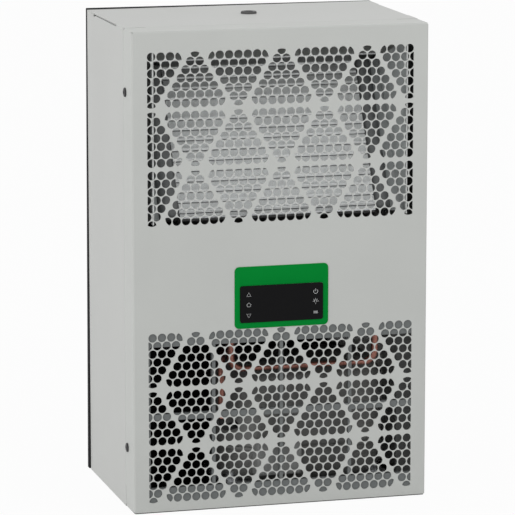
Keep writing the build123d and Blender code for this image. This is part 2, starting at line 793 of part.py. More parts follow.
def filter_drier():
    """Drier cartridge on the loop pipe's right end."""
    top = (across(LOOP_RIGHT), behind(LOOP_DEPTH), level(DRIER_TOP))
    body = rod(DRIER_RADIUS, DRIER_LENGTH, top, (0, 0, -1))
    return fillet(body.edges(), DRIER_RADIUS / 2)


def liquid_pipe():
    """Short pipe from the drier up to the foot of the condenser's right header."""
    start = Vector(across(LOOP_RIGHT), behind(LOOP_DEPTH), level(DRIER_TOP))
    foot = header_foot(1)
    up_slope = coil_plane().y_dir
    points = [
        start,
        start + Vector(0, 0, 2 * PIPE_RADIUS),
        foot - up_slope * LIQUID_RUN,
        foot - up_slope * SEAT_GAP,
    ]
    return tube_along(points, LIQUID_BEND, PIPE_RADIUS)


def suction_pipe():
    """Pipe from the inner wall down past the compressor's left front and into its shell."""
    x = across(SUCTION_LEFT)
    y = behind(SUCTION_DEPTH)
    corner_x = COMPRESSOR_X - COMPRESSOR_WIDTH / 2 + COMPRESSOR_PLAN_RADIUS
    corner_y = behind(COMPRESSOR_DEPTH) - COMPRESSOR_LENGTH / 2 + COMPRESSOR_PLAN_RADIUS
    inset = COMPRESSOR_PLAN_RADIUS * math.sqrt(0.5) - PIPE_RADIUS
    points = [
        (across(SUCTION_REAR), PARTITION_Y, level(SUCTION_TOP)),
        (across(SUCTION_REAR), PARTITION_Y - 2 * PIPE_RADIUS, level(SUCTION_TOP)),
        (x, y, level(SUCTION_TOP)),
        (x, y, level(SUCTION_BOTTOM)),
        (corner_x - inset, corner_y - inset, level(SUCTION_BOTTOM)),
    ]
    pipe = tube_along(points, PIPE_BEND, PIPE_RADIUS)
    shell = compressor_slice(0, level(COMPRESSOR_SEAM) + SEAM_THICKNESS / 2, level(COMPRESSOR_TOP))
    return pipe - shell


# Rear air path

def evaporator():
    """Finned block behind the partition, with a row of vertical grooves."""
    rear = PARTITION_Y + SHEET + SEAT_GAP
    low = level(EVAPORATOR_TOP + EVAPORATOR_HEIGHT)
    core = block(EVAPORATOR_WIDTH, EVAPORATOR_THICKNESS, EVAPORATOR_HEIGHT, 0, rear, low)
    step = EVAPORATOR_WIDTH / EVAPORATOR_SLOTS
    for index in range(EVAPORATOR_SLOTS):
        x = (index + 0.5) * step - EVAPORATOR_WIDTH / 2
        core -= block(
            step / 4, EVAPORATOR_THICKNESS / 3, EVAPORATOR_HEIGHT, x, rear + EVAPORATOR_THICKNESS * 2 / 3, low
        )
    return core


def condensate_tray():
    """Open tray under the evaporator."""
    rear = PARTITION_Y + SHEET + SEAT_GAP
    top = level(EVAPORATOR_TOP + EVAPORATOR_HEIGHT) - SEAT_GAP
    width = EVAPORATOR_WIDTH + 4 * TRAY_WALL
    length = EVAPORATOR_THICKNESS + 2 * TRAY_WALL
    tray = block(width, length, TRAY_HEIGHT, 0, rear, top - TRAY_HEIGHT)
    return offset(tray, -TRAY_WALL, openings=tray.faces().sort_by(Axis.Z)[-1])


def fan_centre(depth_in: float):
    """Point on the fan's axis at a distance in from the back wall's inner face."""
    return (0, BACK_Y - 2 * (SHEET + SEAT_GAP) - depth_in, level(INLET_CENTRE))


def fan_frame():
    """Square fan housing with its round bore and the arms that hold the motor."""
    x, y, z = fan_centre(FAN_DEPTH)
    frame = block(FAN_SIZE, FAN_DEPTH, FAN_SIZE, x, y, z - FAN_SIZE / 2)
    frame = fillet(frame.edges().filter_by(Axis.Y), BEND_RADIUS * 2)
    frame -= rod(FAN_BORE_RADIUS, FAN_DEPTH, (x, y, z), (0, 1, 0))
    motor = rod(FAN_HUB_RADIUS, BLADE_THICKNESS * 2, (x, y, z), (0, 1, 0))
    for turn in (0, 90):
        arm = Box(2 * FAN_BORE_RADIUS + SHEET, BLADE_THICKNESS * 2, BLADE_THICKNESS * 3)
        motor += Pos(x, y + BLADE_THICKNESS, z) * Rot(0, turn + 45, 0) * arm
    return frame + motor


def fan_rotor():
    """Hub with tilted blades."""
    x, y, z = fan_centre(FAN_DEPTH - BLADE_THICKNESS * 2 - SEAT_GAP)
    length = FAN_DEPTH - BLADE_THICKNESS * 4
    rotor = rod(FAN_HUB_RADIUS, length, (x, y, z), (0, 1, 0))
    rotor = fillet(rotor.edges().sort_by(Axis.Y)[-1], BLADE_THICKNESS)
    reach = FAN_TIP_RADIUS - FAN_HUB_RADIUS
    chord = (length - BLADE_THICKNESS * 2) / math.sin(math.radians(BLADE_TILT))
    for index in range(FAN_BLADES):
        blade = Box(reach + BLADE_THICKNESS * 2, BLADE_THICKNESS, chord)
        blade = Pos(FAN_HUB_RADIUS + reach / 2 - BLADE_THICKNESS, 0, 0) * Rot(BLADE_TILT, 0, 0) * blade
        rotor += Pos(x, y + length / 2, z) * Rot(0, index * 360 / FAN_BLADES, 0) * blade
    return rotor


def fan_guard():
    """Wire rings and arms over the air inlet."""
    rear = BACK_Y - SHEET - SEAT_GAP
    centre = Pos(0, rear + GUARD_WIRE / 2, level(INLET_CENTRE))
    guard = None
    for radius in GUARD_RINGS:
        ring = rod(radius + GUARD_WIRE / 2, GUARD_WIRE, (0, 0, 0), (0, 1, 0))
        ring -= rod(radius - GUARD_WIRE / 2, GUARD_WIRE, (0, 0, 0), (0, 1, 0))
        guard = ring if guard is None else guard + ring
    guard = Pos(0, rear, level(INLET_CENTRE)) * guard
    for turn in (0, 90):
        guard += centre * Rot(0, turn + 45, 0) * Box(2 * GUARD_ARM, GUARD_WIRE, GUARD_WIRE * 2)
    return guard


def outlet_louvres():
    """Frame with tilted blades in the air outlet."""
    rear = BACK_Y - SHEET - SEAT_GAP
    plane = back_plane(level(OUTLET_CENTRE))
    width = OUTLET_WIDTH - 2 * SEAT_GAP
    height = OUTLET_HEIGHT - 2 * SEAT_GAP
    rim = extrude(plane * RectangleRounded(width, height, OUTLET_CORNER), LOUVRE_CHORD)
    inner = RectangleRounded(width - 4 * LOUVRE_THICKNESS, height - 4 * LOUVRE_THICKNESS, OUTLET_CORNER / 2)
    rim -= extrude(plane * inner, LOUVRE_CHORD)
    step = (height - 4 * LOUVRE_THICKNESS) / LOUVRE_COUNT
    low = level(OUTLET_CENTRE) - height / 2 + 2 * LOUVRE_THICKNESS
    for index in range(LOUVRE_COUNT):
        blade = Box(width - 3 * LOUVRE_THICKNESS, LOUVRE_CHORD * 0.9, LOUVRE_THICKNESS)
        place = Pos(0, rear - LOUVRE_CHORD / 2, low + (index + 0.5) * step)
        rim += place * Rot(-LOUVRE_TILT, 0, 0) * blade
    return rim


NODES = {
    "front_cover": front_cover,
    "upper_grille": lambda: perforated_sheet(UPPER_GRILLE_TOP),
    "lower_grille": lambda: perforated_sheet(LOWER_GRILLE_TOP),
    "cover_screws": cover_screws,
    "control_label": control_label,
    "controller_window": controller_window,
    "controller_body": controller_body,
    "left_side": lambda: side_panel(-1),
    "right_side": lambda: side_panel(1),
    "top_panel": top_panel,
    "bottom_panel": bottom_panel,
    "back_panel": back_panel,
    "rear_gasket": rear_gasket,
    "lifting_nut": lifting_nut,
    "mounting_inserts": mounting_inserts,
    "partition": partition,
    "condenser_core": condenser_core,
    "condenser_header_left": lambda: condenser_header(-1),
    "condenser_header_right": lambda: condenser_header(1),
    "coil_blankoff_left": lambda: coil_blankoff(-1),
    "coil_blankoff_right": lambda: coil_blankoff(1),
    "coil_tray": coil_tray,
    "coil_cap": coil_cap,
    "dust_frame": dust_frame,
    "compressor_upper_shell": compressor_upper_shell,
    "compressor_seam": compressor_seam,
    "compressor_lower_shell": compressor_lower_shell,
    "compressor_base": compressor_base,
    "compressor_grommets": compressor_grommets,
    "compressor_studs": compressor_studs,
    "terminal_cover": terminal_cover,
    "relay_box": relay_box,
    "loop_pipe": loop_pipe,
    "suction_pipe": suction_pipe,
    "filter_drier": filter_drier,
    "liquid_pipe": liquid_pipe,
    "evaporator": evaporator,
    "condensate_tray": condensate_tray,
    "fan_frame": fan_frame,
    "fan_rotor": fan_rotor,
    "fan_guard": fan_guard,
    "outlet_louvres": outlet_louvres,
}

os.makedirs("parts", exist_ok=True)
for node, build in NODES.items():
    export_step(build(), f"parts/{node}.step")
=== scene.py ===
"""Looks of a side-mounted enclosure cooling unit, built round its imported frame.

Everything is in metres in the frame of the solids: X to the right, Y to the rear, Z up.
"""
import logging
import math
from collections.abc import Callable
from dataclasses import dataclass
from enum import Enum
from typing import ClassVar

import bmesh
import bpy
from mathutils import Matrix, Vector


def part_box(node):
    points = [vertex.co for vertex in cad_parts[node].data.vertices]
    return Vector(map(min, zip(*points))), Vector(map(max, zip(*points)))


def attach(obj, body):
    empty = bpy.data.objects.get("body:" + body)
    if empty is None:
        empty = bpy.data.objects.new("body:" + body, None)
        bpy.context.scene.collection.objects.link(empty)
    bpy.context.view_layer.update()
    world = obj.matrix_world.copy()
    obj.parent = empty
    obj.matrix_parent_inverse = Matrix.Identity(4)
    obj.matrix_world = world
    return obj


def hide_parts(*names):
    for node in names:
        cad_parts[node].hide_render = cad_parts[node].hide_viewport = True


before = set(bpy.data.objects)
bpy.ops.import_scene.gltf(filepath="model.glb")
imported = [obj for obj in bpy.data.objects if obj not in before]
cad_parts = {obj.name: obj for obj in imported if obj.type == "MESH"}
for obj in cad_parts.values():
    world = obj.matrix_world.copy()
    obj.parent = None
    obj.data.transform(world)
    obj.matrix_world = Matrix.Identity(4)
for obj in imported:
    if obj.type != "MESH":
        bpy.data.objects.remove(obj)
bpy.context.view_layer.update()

LOG = logging.getLogger("cooling_unit")
MM = 0.001
WELD = 0.01 * MM
FRAME_WELD = 0.001 * MM
FLAT = math.radians(0.5)
BODY = "root"
Colour = tuple[float, float, float]
Place = tuple[float, float]
Place3 = tuple[float, float, float]


class Signal:
    """A node's output that takes part in Python expressions."""

    def __init__(self, tree: "NodeTree", socket: bpy.types.NodeSocket) -> None:
        """Wraps an output socket of a tree."""
        self.tree = tree
        self.socket = socket

    def _math(self, operation: str, first: object, second: object = None) -> "Signal":
        """Adds a Math node for one or two values or signals."""
        inputs = {0: first} if second is None else {0: first, 1: second}
        return self.tree.signal("ShaderNodeMath", {"operation": operation}, inputs)

    def __add__(self, other: object) -> "Signal":
        """Sum."""
        return self._math("ADD", self, other)

    def __radd__(self, other: object) -> "Signal":
        """Sum, reflected."""
        return self._math("ADD", other, self)

    def __sub__(self, other: object) -> "Signal":
        """Difference."""
        return self._math("SUBTRACT", self, other)

    def __rsub__(self, other: object) -> "Signal":
        """Difference, reflected."""
        return self._math("SUBTRACT", other, self)

    def __mul__(self, other: object) -> "Signal":
        """Product."""
        return self._math("MULTIPLY", self, other)

    def __rmul__(self, other: object) -> "Signal":
        """Product, reflected."""
        return self._math("MULTIPLY", other, self)

    def at_least(self, other: object) -> "Signal":
        """The larger of two values."""
        return self._math("MAXIMUM", self, other)

    def between(self, low: float, high: float) -> "Signal":
        """Maps the range from low to high smoothly to 0 to 1."""
        inputs = {"Value": self, "From Min": low, "From Max": high}
        return self.tree.signal("ShaderNodeMapRange", {"interpolation_type": "SMOOTHSTEP"}, inputs)


class NodeTree:
    """Builds the nodes of a shader or geometry tree."""

    def __init__(self, tree: bpy.types.NodeTree) -> None:
        """Takes an empty tree."""
        self.tree = tree

    def node(self, kind: str, settings: dict | None = None, inputs: dict | None = None) -> bpy.types.Node:
        """Adds a node, sets its settings and then its sockets.

        Args:
            kind: The node's type.
            settings: Its properties, set first.
            inputs: Values, signals or sockets by socket name or number.

        Returns:
            The node.
        """
        node = self.tree.nodes.new(kind)
        for name, value in (settings or {}).items():
            setattr(node, name, value)
        for key, value in (inputs or {}).items():
            self.feed(node.inputs[key], value)
        return node

    def feed(self, socket: bpy.types.NodeSocket, value: object) -> None:
        """Links or sets one input socket.

        Args:
            socket: The input socket.
            value: A signal, a socket or a plain value.
        """
        if isinstance(value, Signal):
            self.tree.links.new(value.socket, socket)
        elif isinstance(value, bpy.types.NodeSocket):
            self.tree.links.new(value, socket)
        else:
            socket.default_value = value

    def signal(self, kind: str, settings: dict | None = None, inputs: dict | None = None,
               output: str | int = 0) -> Signal:
        """Adds a node and wraps one of its outputs."""
        return Signal(self, self.node(kind, settings, inputs).outputs[output])

    def shown(self, lit: bpy.types.Node, seen: bpy.types.Node, share: float) -> bpy.types.NodeSocket:
        """Mixes two shaders, one that lights and one that is seen directly and in metal and glass.

        Args:
            lit: The shader that lights the unit.
            seen: The shader that the camera sees.
            share: How much of the second one is seen.

        Returns:
            The mixed shader.
        """
        path = self.node("ShaderNodeLightPath")
        rays = [Signal(self, path.outputs[f"Is {kind} Ray"]) for kind in ("Camera", "Glossy", "Transmission")]
        factor = rays[0].at_least(rays[1]).at_least(rays[2]) * share
        mixed = self.node("ShaderNodeMixShader", None, {0: factor, 1: lit.outputs[0], 2: seen.outputs[0]})
        return mixed.outputs[0]


class ShaderTree(NodeTree):
    """A material's nodes."""

    def __init__(self, name: str) -> None:
        """Makes a material with an empty tree.

        Args:
            name: The material's name.
        """
        self.material = bpy.data.materials.new(name)
        self.material.use_nodes = True
        self.material.node_tree.nodes.clear()
        super().__init__(self.material.node_tree)

    def place(self, scale: Place3 = (1.0, 1.0, 1.0)) -> Signal:
        """Object coordinates, with the pattern faster along X, Y and Z by the scale."""
        coordinates = self.node("ShaderNodeTexCoord").outputs["Object"]
        return self.signal("ShaderNodeMapping", None, {"Vector": coordinates, "Scale": scale})

    def height(self, low: float, high: float) -> Signal:
        """Share of the way up from one height in metres to another, held between 0 and 1."""
        parts = self.node("ShaderNodeSeparateXYZ", None, {"Vector": self.place()})
        return Signal(self, parts.outputs["Z"]).between(low, high)

    def noise(self, size: float, detail: float = 2.0, roughness: float = 0.5,
              stretch: Place3 = (1.0, 1.0, 1.0)) -> Signal:
        """Noise, about 0.5 on average, with grains of a size in metres and a number of finer layers."""
        inputs = {"Vector": self.place(stretch), "Scale": 1 / size, "Detail": detail, "Roughness": roughness}
        return self.signal("ShaderNodeTexNoise", None, inputs, "Fac")

    def cells(self, size: float) -> Signal:
        """Random shade of cells of a real size."""
        node = self.node("ShaderNodeTexVoronoi", None, {"Vector": self.place(), "Scale": 1 / size})
        return self.signal("ShaderNodeSeparateColor", None, {"Color": node.outputs["Color"]}, "Red")

    def mix(self, factor: object, first: object, second: object) -> Signal:
        """Mixes two colours.

        Args:
            factor: Share of the second colour.
            first: The first colour.
            second: The second colour.

        Returns:
            The mixed colour.
        """
        node = self.node("ShaderNodeMix", {"data_type": "RGBA"})
        self.feed(node.inputs["Factor"], factor)
        for socket, value in ((node.inputs[6], first), (node.inputs[7], second)):
            self.feed(socket, (*value, 1.0) if isinstance(value, tuple) else value)
        return Signal(self, node.outputs[2])

    def bump(self, height: Signal, depth: float, strength: float = 1.0) -> Signal:
        """Turns a height into a normal; the depth in metres is for a height of 1."""
        inputs = {"Height": height, "Distance": depth, "Strength": strength}
        return self.signal("ShaderNodeBump", None, inputs, "Normal")

    def surface(self, **values: object) -> bpy.types.Material:
        """Ends the tree in a principled surface.

        Args:
            **values: The shader's inputs, with underscores for spaces.

        Returns:
            The material.
        """
        inputs = {}
        for name, value in values.items():
            inputs[name.replace("_", " ")] = (*value, 1.0) if isinstance(value, tuple) else value
        shader = self.node("ShaderNodeBsdfPrincipled", None, inputs)
        self.node("ShaderNodeOutputMaterial", None, {"Surface": shader.outputs["BSDF"]})
        return self.material


@dataclass(frozen=True)
class Finish:
    """What every finish has: its name, the record's slot and its main colour."""

    name: str
    slot: str
    colour: Colour

    def material(self) -> bpy.types.Material:
        """Finds or makes the material; the frame's own plain materials keep the bare names.

        Returns:
            The material.
        """
        name = f"{self.name}_finish"
        found = bpy.data.materials.get(name)
        return found if found else self.build(ShaderTree(name))

    def build(self, tree: ShaderTree) -> bpy.types.Material:
        """Builds the nodes; each finish has its own."""
        return tree.surface(Base_Color=self.colour)

    def shade(self, factor: float) -> Colour:
        """The main colour, lighter or darker."""
        return tuple(channel * factor for channel in self.colour)


@dataclass(frozen=True)
class PowderCoat(Finish):
    """Baked powder paint with its fine orange peel."""

    roughness: float = 0.48
    peel: float = 0.0011
    depth: float = 0.00002
    specular: float = 0.4
    # Painted shade along the bottom edge: its height, its darkness and where it starts to fade.
    bottom_shade: float = 0.0
    bottom_shade_factor: float = 0.1
    bottom_shade_fade: float = 0.8
    cloud: float = 0.07
    cloud_gloss: float = 0.06
    speck: float = 0.0004
    speck_gloss: float = 0.08
    tint: float = 0.015

    def build(self, tree: ShaderTree) -> bpy.types.Material:
        """Builds the paint, darkened with painted shade up to a level above the ground.

        Args:
            tree: An empty tree.

        Returns:
            The finished material.
        """
        cloud = tree.noise(self.cloud, 3.0)
        speck = tree.noise(self.speck, 1.0)
        colour = tree.mix(cloud.between(0.3, 0.7), self.shade(1 - self.tint), self.shade(1 + self.tint))
        # Painted shade: the colour turns dark from the ground up to this height, for the shaded bottom bend.
        if self.bottom_shade:
            colour = tree.mix(
                tree.height(self.bottom_shade * self.bottom_shade_fade, self.bottom_shade), self.shade(self.bottom_shade_factor), colour
            )
        peel = tree.noise(self.peel, 2.0, 0.45)
        rough = self.roughness + (speck - 0.5) * self.speck_gloss + (cloud - 0.5) * self.cloud_gloss
        normal = tree.bump(peel, self.depth, 0.5)
        return tree.surface(
            Base_Color=colour, Roughness=rough, Normal=normal, Specular_IOR_Level=self.specular
        )


@dataclass(frozen=True)
class MouldedPlastic(Finish):
    """Moulded plastic with a fine grain."""

    roughness: float = 0.5
    grain: float = 0.0005
    depth: float = 0.00002
    specular: float = 0.3
    cloud: float = 0.03
    tint: float = 0.05
    gloss: float = 0.12

    def build(self, tree: ShaderTree) -> bpy.types.Material:
        """Builds the plastic.

        Args:
            tree: An empty tree.

        Returns:
            The finished material.
        """
        cloud = tree.noise(self.cloud, 2.0)
        colour = tree.mix(cloud, self.shade(1 - self.tint), self.shade(1 + self.tint))
        grain = tree.noise(self.grain, 2.0, 0.6)
        rough = self.roughness + (grain - 0.5) * self.gloss
        normal = tree.bump(grain, self.depth, 0.6)
        return tree.surface(
            Base_Color=colour, Roughness=rough, Normal=normal, Specular_IOR_Level=self.specular
        )


@dataclass(frozen=True)
class GlossPanel(Finish):
    """Smooth dark front with faint wiping marks in its gloss."""

    roughness: float = 0.22
    specular: float = 0.08
    wipe: float = 0.02
    tint: float = 0.1
    gloss: float = 0.1

    def build(self, tree: ShaderTree) -> bpy.types.Material:
        """Builds the gloss front.

        Args:
            tree: An empty tree.

        Returns:
            The finished material.
        """
        wipes = tree.noise(self.wipe, 4.0, 0.6, (1.0, 1.0, 3.0))
        colour = tree.mix(wipes, self.shade(1 - self.tint), self.shade(1 + self.tint))
        rough = self.roughness + (wipes - 0.5) * self.gloss
        return tree.surface(Base_Color=colour, Roughness=rough, Specular_IOR_Level=self.specular)


@dataclass(frozen=True)
class PlatedSteel(Finish):
    """Zinc-plated sheet with soft crystals and rolling marks."""

    roughness: float = 0.42
    crystal: float = 0.009
    mark: float = 0.002
    shades: Place = (0.86, 1.12)
    gloss: float = 0.16
    depth: float = 0.00001

    def build(self, tree: ShaderTree) -> bpy.types.Material:
        """Builds the plated steel.

        Args:
            tree: An empty tree.

        Returns:
            The finished material.
        """
        crystals = tree.cells(self.crystal)
        marks = tree.noise(self.mark, 3.0, 0.5, (1.0, 1.0, 12.0))
        dark, light = (self.shade(factor) for factor in self.shades)
        colour = tree.mix(crystals * 0.5 + marks * 0.5, dark, light)
        rough = self.roughness + (crystals - 0.5) * self.gloss
        return tree.surface(
            Base_Color=colour, Metallic=0.9, Roughness=rough, Normal=tree.bump(marks, self.depth, 0.4)
        )


@dataclass(frozen=True)
class RolledAluminium(Finish):
    """Bare aluminium with rolling marks along the tubes."""

    roughness: float = 0.4
    metallic: float = 0.45
    # Painted shade on the upper end: its strength, its heights and its darkness.
    top_shade: float = 0.0
    top_shade_levels: Place = (0.345, 0.385)
    top_shade_factor: float = 0.1
    mark: float = 0.0012
    cloud: float = 0.02
    shades: Place = (0.88, 1.08)
    gloss: float = 0.2
    depth: float = 0.00001

    def build(self, tree: ShaderTree) -> bpy.types.Material:
        """Builds the aluminium; painted shade darkens its upper end.

        Args:
            tree: An empty tree.

        Returns:
            The finished material.
        """
        marks = tree.noise(self.mark, 3.0, 0.6, (0.06, 1.0, 1.0))
        cloud = tree.noise(self.cloud, 2.0)
        dark, light = (self.shade(factor) for factor in self.shades)
        colour = tree.mix(marks * 0.6 + cloud * 0.4, dark, light)
        # Painted shade: darker towards the coil's upper end, which lies in shadow.
        if self.top_shade:
            top_shading = tree.height(*self.top_shade_levels) * self.top_shade
            colour = tree.mix(top_shading, colour, self.shade(self.top_shade_factor))
        rough = self.roughness + (marks - 0.5) * self.gloss
        normal = tree.bump(marks, self.depth, 0.5)
        return tree.surface(Base_Color=colour, Metallic=self.metallic, Roughness=rough, Normal=normal)


@dataclass(frozen=True)
class CopperTube(Finish):
    """Drawn copper with a little oxide."""

    roughness: float = 0.36
    oxide: float = 0.012
    oxide_shade: float = 0.62
    mark: float = 0.0008
    gloss: float = 0.25
    depth: float = 0.00001

    def build(self, tree: ShaderTree) -> bpy.types.Material:
        """Builds the copper.

        Args:
            tree: An empty tree.

        Returns:
            The finished material.
        """
        oxide = tree.noise(self.oxide, 4.0, 0.6)
        marks = tree.noise(self.mark, 2.0)
        colour = tree.mix(oxide.between(0.45, 0.75), self.colour, self.shade(self.oxide_shade))
        rough = self.roughness + (oxide - 0.5) * self.gloss
        return tree.surface(
            Base_Color=colour, Metallic=0.7, Roughness=rough, Normal=tree.bump(marks, self.depth, 0.4)
        )


@dataclass(frozen=True)
class FoamRubber(Finish):
    """Closed-cell foam or rubber with fine pores."""

    pore: float = 0.0009
    roughness: float = 0.75
    shades: Place = (0.7, 1.4)
    gloss: float = 0.3
    depth: float = 0.00012
    specular: float = 0.1

    def build(self, tree: ShaderTree) -> bpy.types.Material:
        """Builds the foam.

        Args:
            tree: An empty tree.

        Returns:
            The finished material.
        """
        pores = tree.noise(self.pore, 3.0, 0.7)
        dark, light = (self.shade(factor) for factor in self.shades)
        colour = tree.mix(pores, dark, light)
        rough = self.roughness + (pores - 0.5) * self.gloss
        normal = tree.bump(pores, self.depth, 0.7)
        return tree.surface(
            Base_Color=colour, Roughness=rough, Normal=normal, Specular_IOR_Level=self.specular
        )


class Coat(Enum):
    """The finishes of the unit."""

    # The cover's bottom bend is darkened with painted shade.
    COVER = PowderCoat("cover_paint", "cover_paint", (0.540, 0.553, 0.533), bottom_shade=0.0012)
    CASE = PowderCoat("case_paint", "case_paint", (0.545, 0.553, 0.537))
    SCREW = PowderCoat("screw_black", "screw_black", (0.012, 0.012, 0.013), 0.4, 0.0006)
    LABEL = MouldedPlastic("panel_green", "panel_green", (0.0005, 0.222, 0.03), 0.6, 0.0003, 0.00001, 0.04)
    WINDOW = GlossPanel("panel_black", "panel_black", (0.0045, 0.0045, 0.005))
    ICON = MouldedPlastic("icon_white", "panel_black", (0.72, 0.73, 0.73), 0.5)
    HOUSING = MouldedPlastic("housing_dark", "housing_dark", (0.02, 0.02, 0.022), 0.5)
    GALVANISED = PlatedSteel("galvanised", "galvanised", (0.50, 0.51, 0.52))
    PLATED = PlatedSteel("plated_steel", "plated_steel", (0.42, 0.43, 0.44), 0.32, 0.02)
    SEAL = FoamRubber("foam_seal", "foam_seal", (0.018, 0.018, 0.019))
    COIL = RolledAluminium("coil_aluminium", "coil_aluminium", (0.72, 0.73, 0.73), 0.45, 0.3)
    # The fins' upper end is darkened with painted shade.
    FIN = RolledAluminium("fin_aluminium", "coil_aluminium", (0.88, 0.89, 0.89), 0.45, 0.25, 0.7)
    DARK = PowderCoat("dark_sheet", "dark_sheet", (0.42, 0.44, 0.44), 0.6)
    # Painted light: the dark coil cap is coloured light grey so that it looks lit.
    CAP = PowderCoat("cap_sheet", "dark_sheet", (0.85, 0.86, 0.86), 0.6)
    SHADOW = PowderCoat("shadow_gap", "coil_aluminium", (0.06, 0.06, 0.06), 0.7)
    # Dark grey painted shade on the aluminium headers.
    HEADER = PowderCoat("header_grey", "coil_aluminium", (0.14, 0.145, 0.145), 0.6)
    SLEEVE = FoamRubber("sleeve_black", "copper", (0.015, 0.015, 0.015), 0.0012)
    # Lighter painted highlight on the baffles' front edges.
    EDGE = PowderCoat("cut_edge", "dark_sheet", (0.62, 0.63, 0.62), 0.5)
    # Near-black painted shade for insides that lie in shade.
    LINING = FoamRubber("lining_black", "housing_dark", (0.004, 0.004, 0.004), 0.001)
    FRAME = MouldedPlastic("frame_plastic", "frame_plastic", (0.158, 0.168, 0.168), 0.6)
    TERMINAL = MouldedPlastic("terminal_plastic", "frame_plastic", (0.27, 0.275, 0.27), 0.5)
    SHELL = PowderCoat("shell_grey", "shell_grey", (0.13, 0.131, 0.126), 0.42)
    SHELL_LOW = PowderCoat("shell_low", "shell_grey", (0.11, 0.111, 0.106), 0.42)
    # Grey painted light on the parts of the inner wall where light falls.
    WALL = PowderCoat("wall_paint", "housing_dark", (0.5, 0.5, 0.485), 0.6)
    # Dark grey painted shade on the side panels' front lips.
    LIP = FoamRubber("lip_foam", "foam_seal", (0.08, 0.082, 0.081), 0.0012)
    NUT = PlatedSteel("nut_steel", "plated_steel", (0.12, 0.12, 0.12), 0.6, 0.02)
    RELAY = MouldedPlastic("relay_grey", "relay_grey", (0.36, 0.37, 0.37), 0.5)
    RUBBER = FoamRubber("rubber_black", "rubber_black", (0.015, 0.015, 0.015), 0.002)
    COPPER = CopperTube("copper", "copper", (0.36, 0.155, 0.12))
    WIRE = PlatedSteel("guard_wire", "guard_wire", (0.35, 0.36, 0.37), 0.35, 0.004)


class Workshop:
    """Turns meshes into named pieces of the unit."""

    @staticmethod
    def add(name: str, data: bpy.types.ID) -> bpy.types.Object:
        """Puts a mesh, curve, lamp or camera in the scene.

        Args:
            name: The object's name.
            data: Its mesh or other data.

        Returns:
            The new object.
        """
        piece = bpy.data.objects.new(name, data)
        bpy.context.scene.collection.objects.link(piece)
        return piece

    @staticmethod
    def from_bmesh(name: str, shape: bmesh.types.BMesh) -> bpy.types.Object:
        """Makes an object from a bmesh and frees it.

        Args:
            name: The object's name.
            shape: The bmesh.

        Returns:
            The new object.
        """
        mesh = bpy.data.meshes.new(name)
        shape.to_mesh(mesh)
        shape.free()
        return Workshop.add(name, mesh)

    @staticmethod
    def baked(piece: bpy.types.Object) -> bpy.types.Object:
        """Turns an object with modifiers, or a curve, into a plain mesh object.

        Args:
            piece: The object, which is removed.

        Returns:
            A mesh object of the same name.
        """
        bpy.context.view_layer.update()
        graph = bpy.context.evaluated_depsgraph_get()
        mesh = bpy.data.meshes.new_from_object(piece.evaluated_get(graph))
        mesh.transform(piece.matrix_world)
        name = piece.name
        bpy.data.objects.remove(piece)
        mesh.name = name
        return Workshop.add(name, mesh)

    @staticmethod
    def smooth(piece: bpy.types.Object, angle: float = 32.0) -> bpy.types.Object:
        """Shades a piece smooth.

        Args:
            piece: The mesh object.
            angle: Angle in degrees over which an edge stays sharp.

        Returns:
            The same object.
        """
        piece.data.shade_smooth()
        piece.data.set_sharp_from_angle(angle=math.radians(angle))
        return piece

    @staticmethod
    def bevel(piece: bpy.types.Object, width: float, segments: int = 2, angle: float = 40.0) -> None:
        """Adds a bevel on edges sharper than an angle.

        Args:
            piece: The object.
            width: Width of the bevel in metres.
            segments: Number of faces across it.
            angle: Smallest angle in degrees that is bevelled.
        """
        modifier = piece.modifiers.new("edges", "BEVEL")
        modifier.width = width
        modifier.segments = segments
        modifier.limit_method = "ANGLE"
        modifier.angle_limit = math.radians(angle)
        modifier.use_clamp_overlap = True

    @staticmethod
    def dress(piece: bpy.types.Object, coat: Coat, *nodes: str) -> bpy.types.Object:
        """Gives a piece its finish and its place on the unit.

        Args:
            piece: The finished mesh object.
            coat: Its finish.
            *nodes: Nodes of the frame that it stands for.

        Returns:
            The piece.
        """
        if not piece.data.materials:
            piece.data.materials.append(coat.value.material())
        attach(piece, BODY)
        if nodes:
            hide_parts(*nodes)
        LOG.info("%s: %d faces", piece.name, len(piece.data.polygons))
        return piece

    @staticmethod
    def box(shape: bmesh.types.BMesh, low: Vector, high: Vector) -> list[bmesh.types.BMVert]:
        """Adds a block to a bmesh.

        Args:
            shape: The bmesh.
            low: Its lowest corner.
            high: Its highest corner.

        Returns:
            The new vertices.
        """
        middle = (Vector(low) + Vector(high)) / 2
        size = Vector(high) - Vector(low)
        matrix = Matrix.Translation(middle) @ Matrix.Diagonal((*size, 1.0))
        return bmesh.ops.create_cube(shape, size=1.0, matrix=matrix)["verts"]


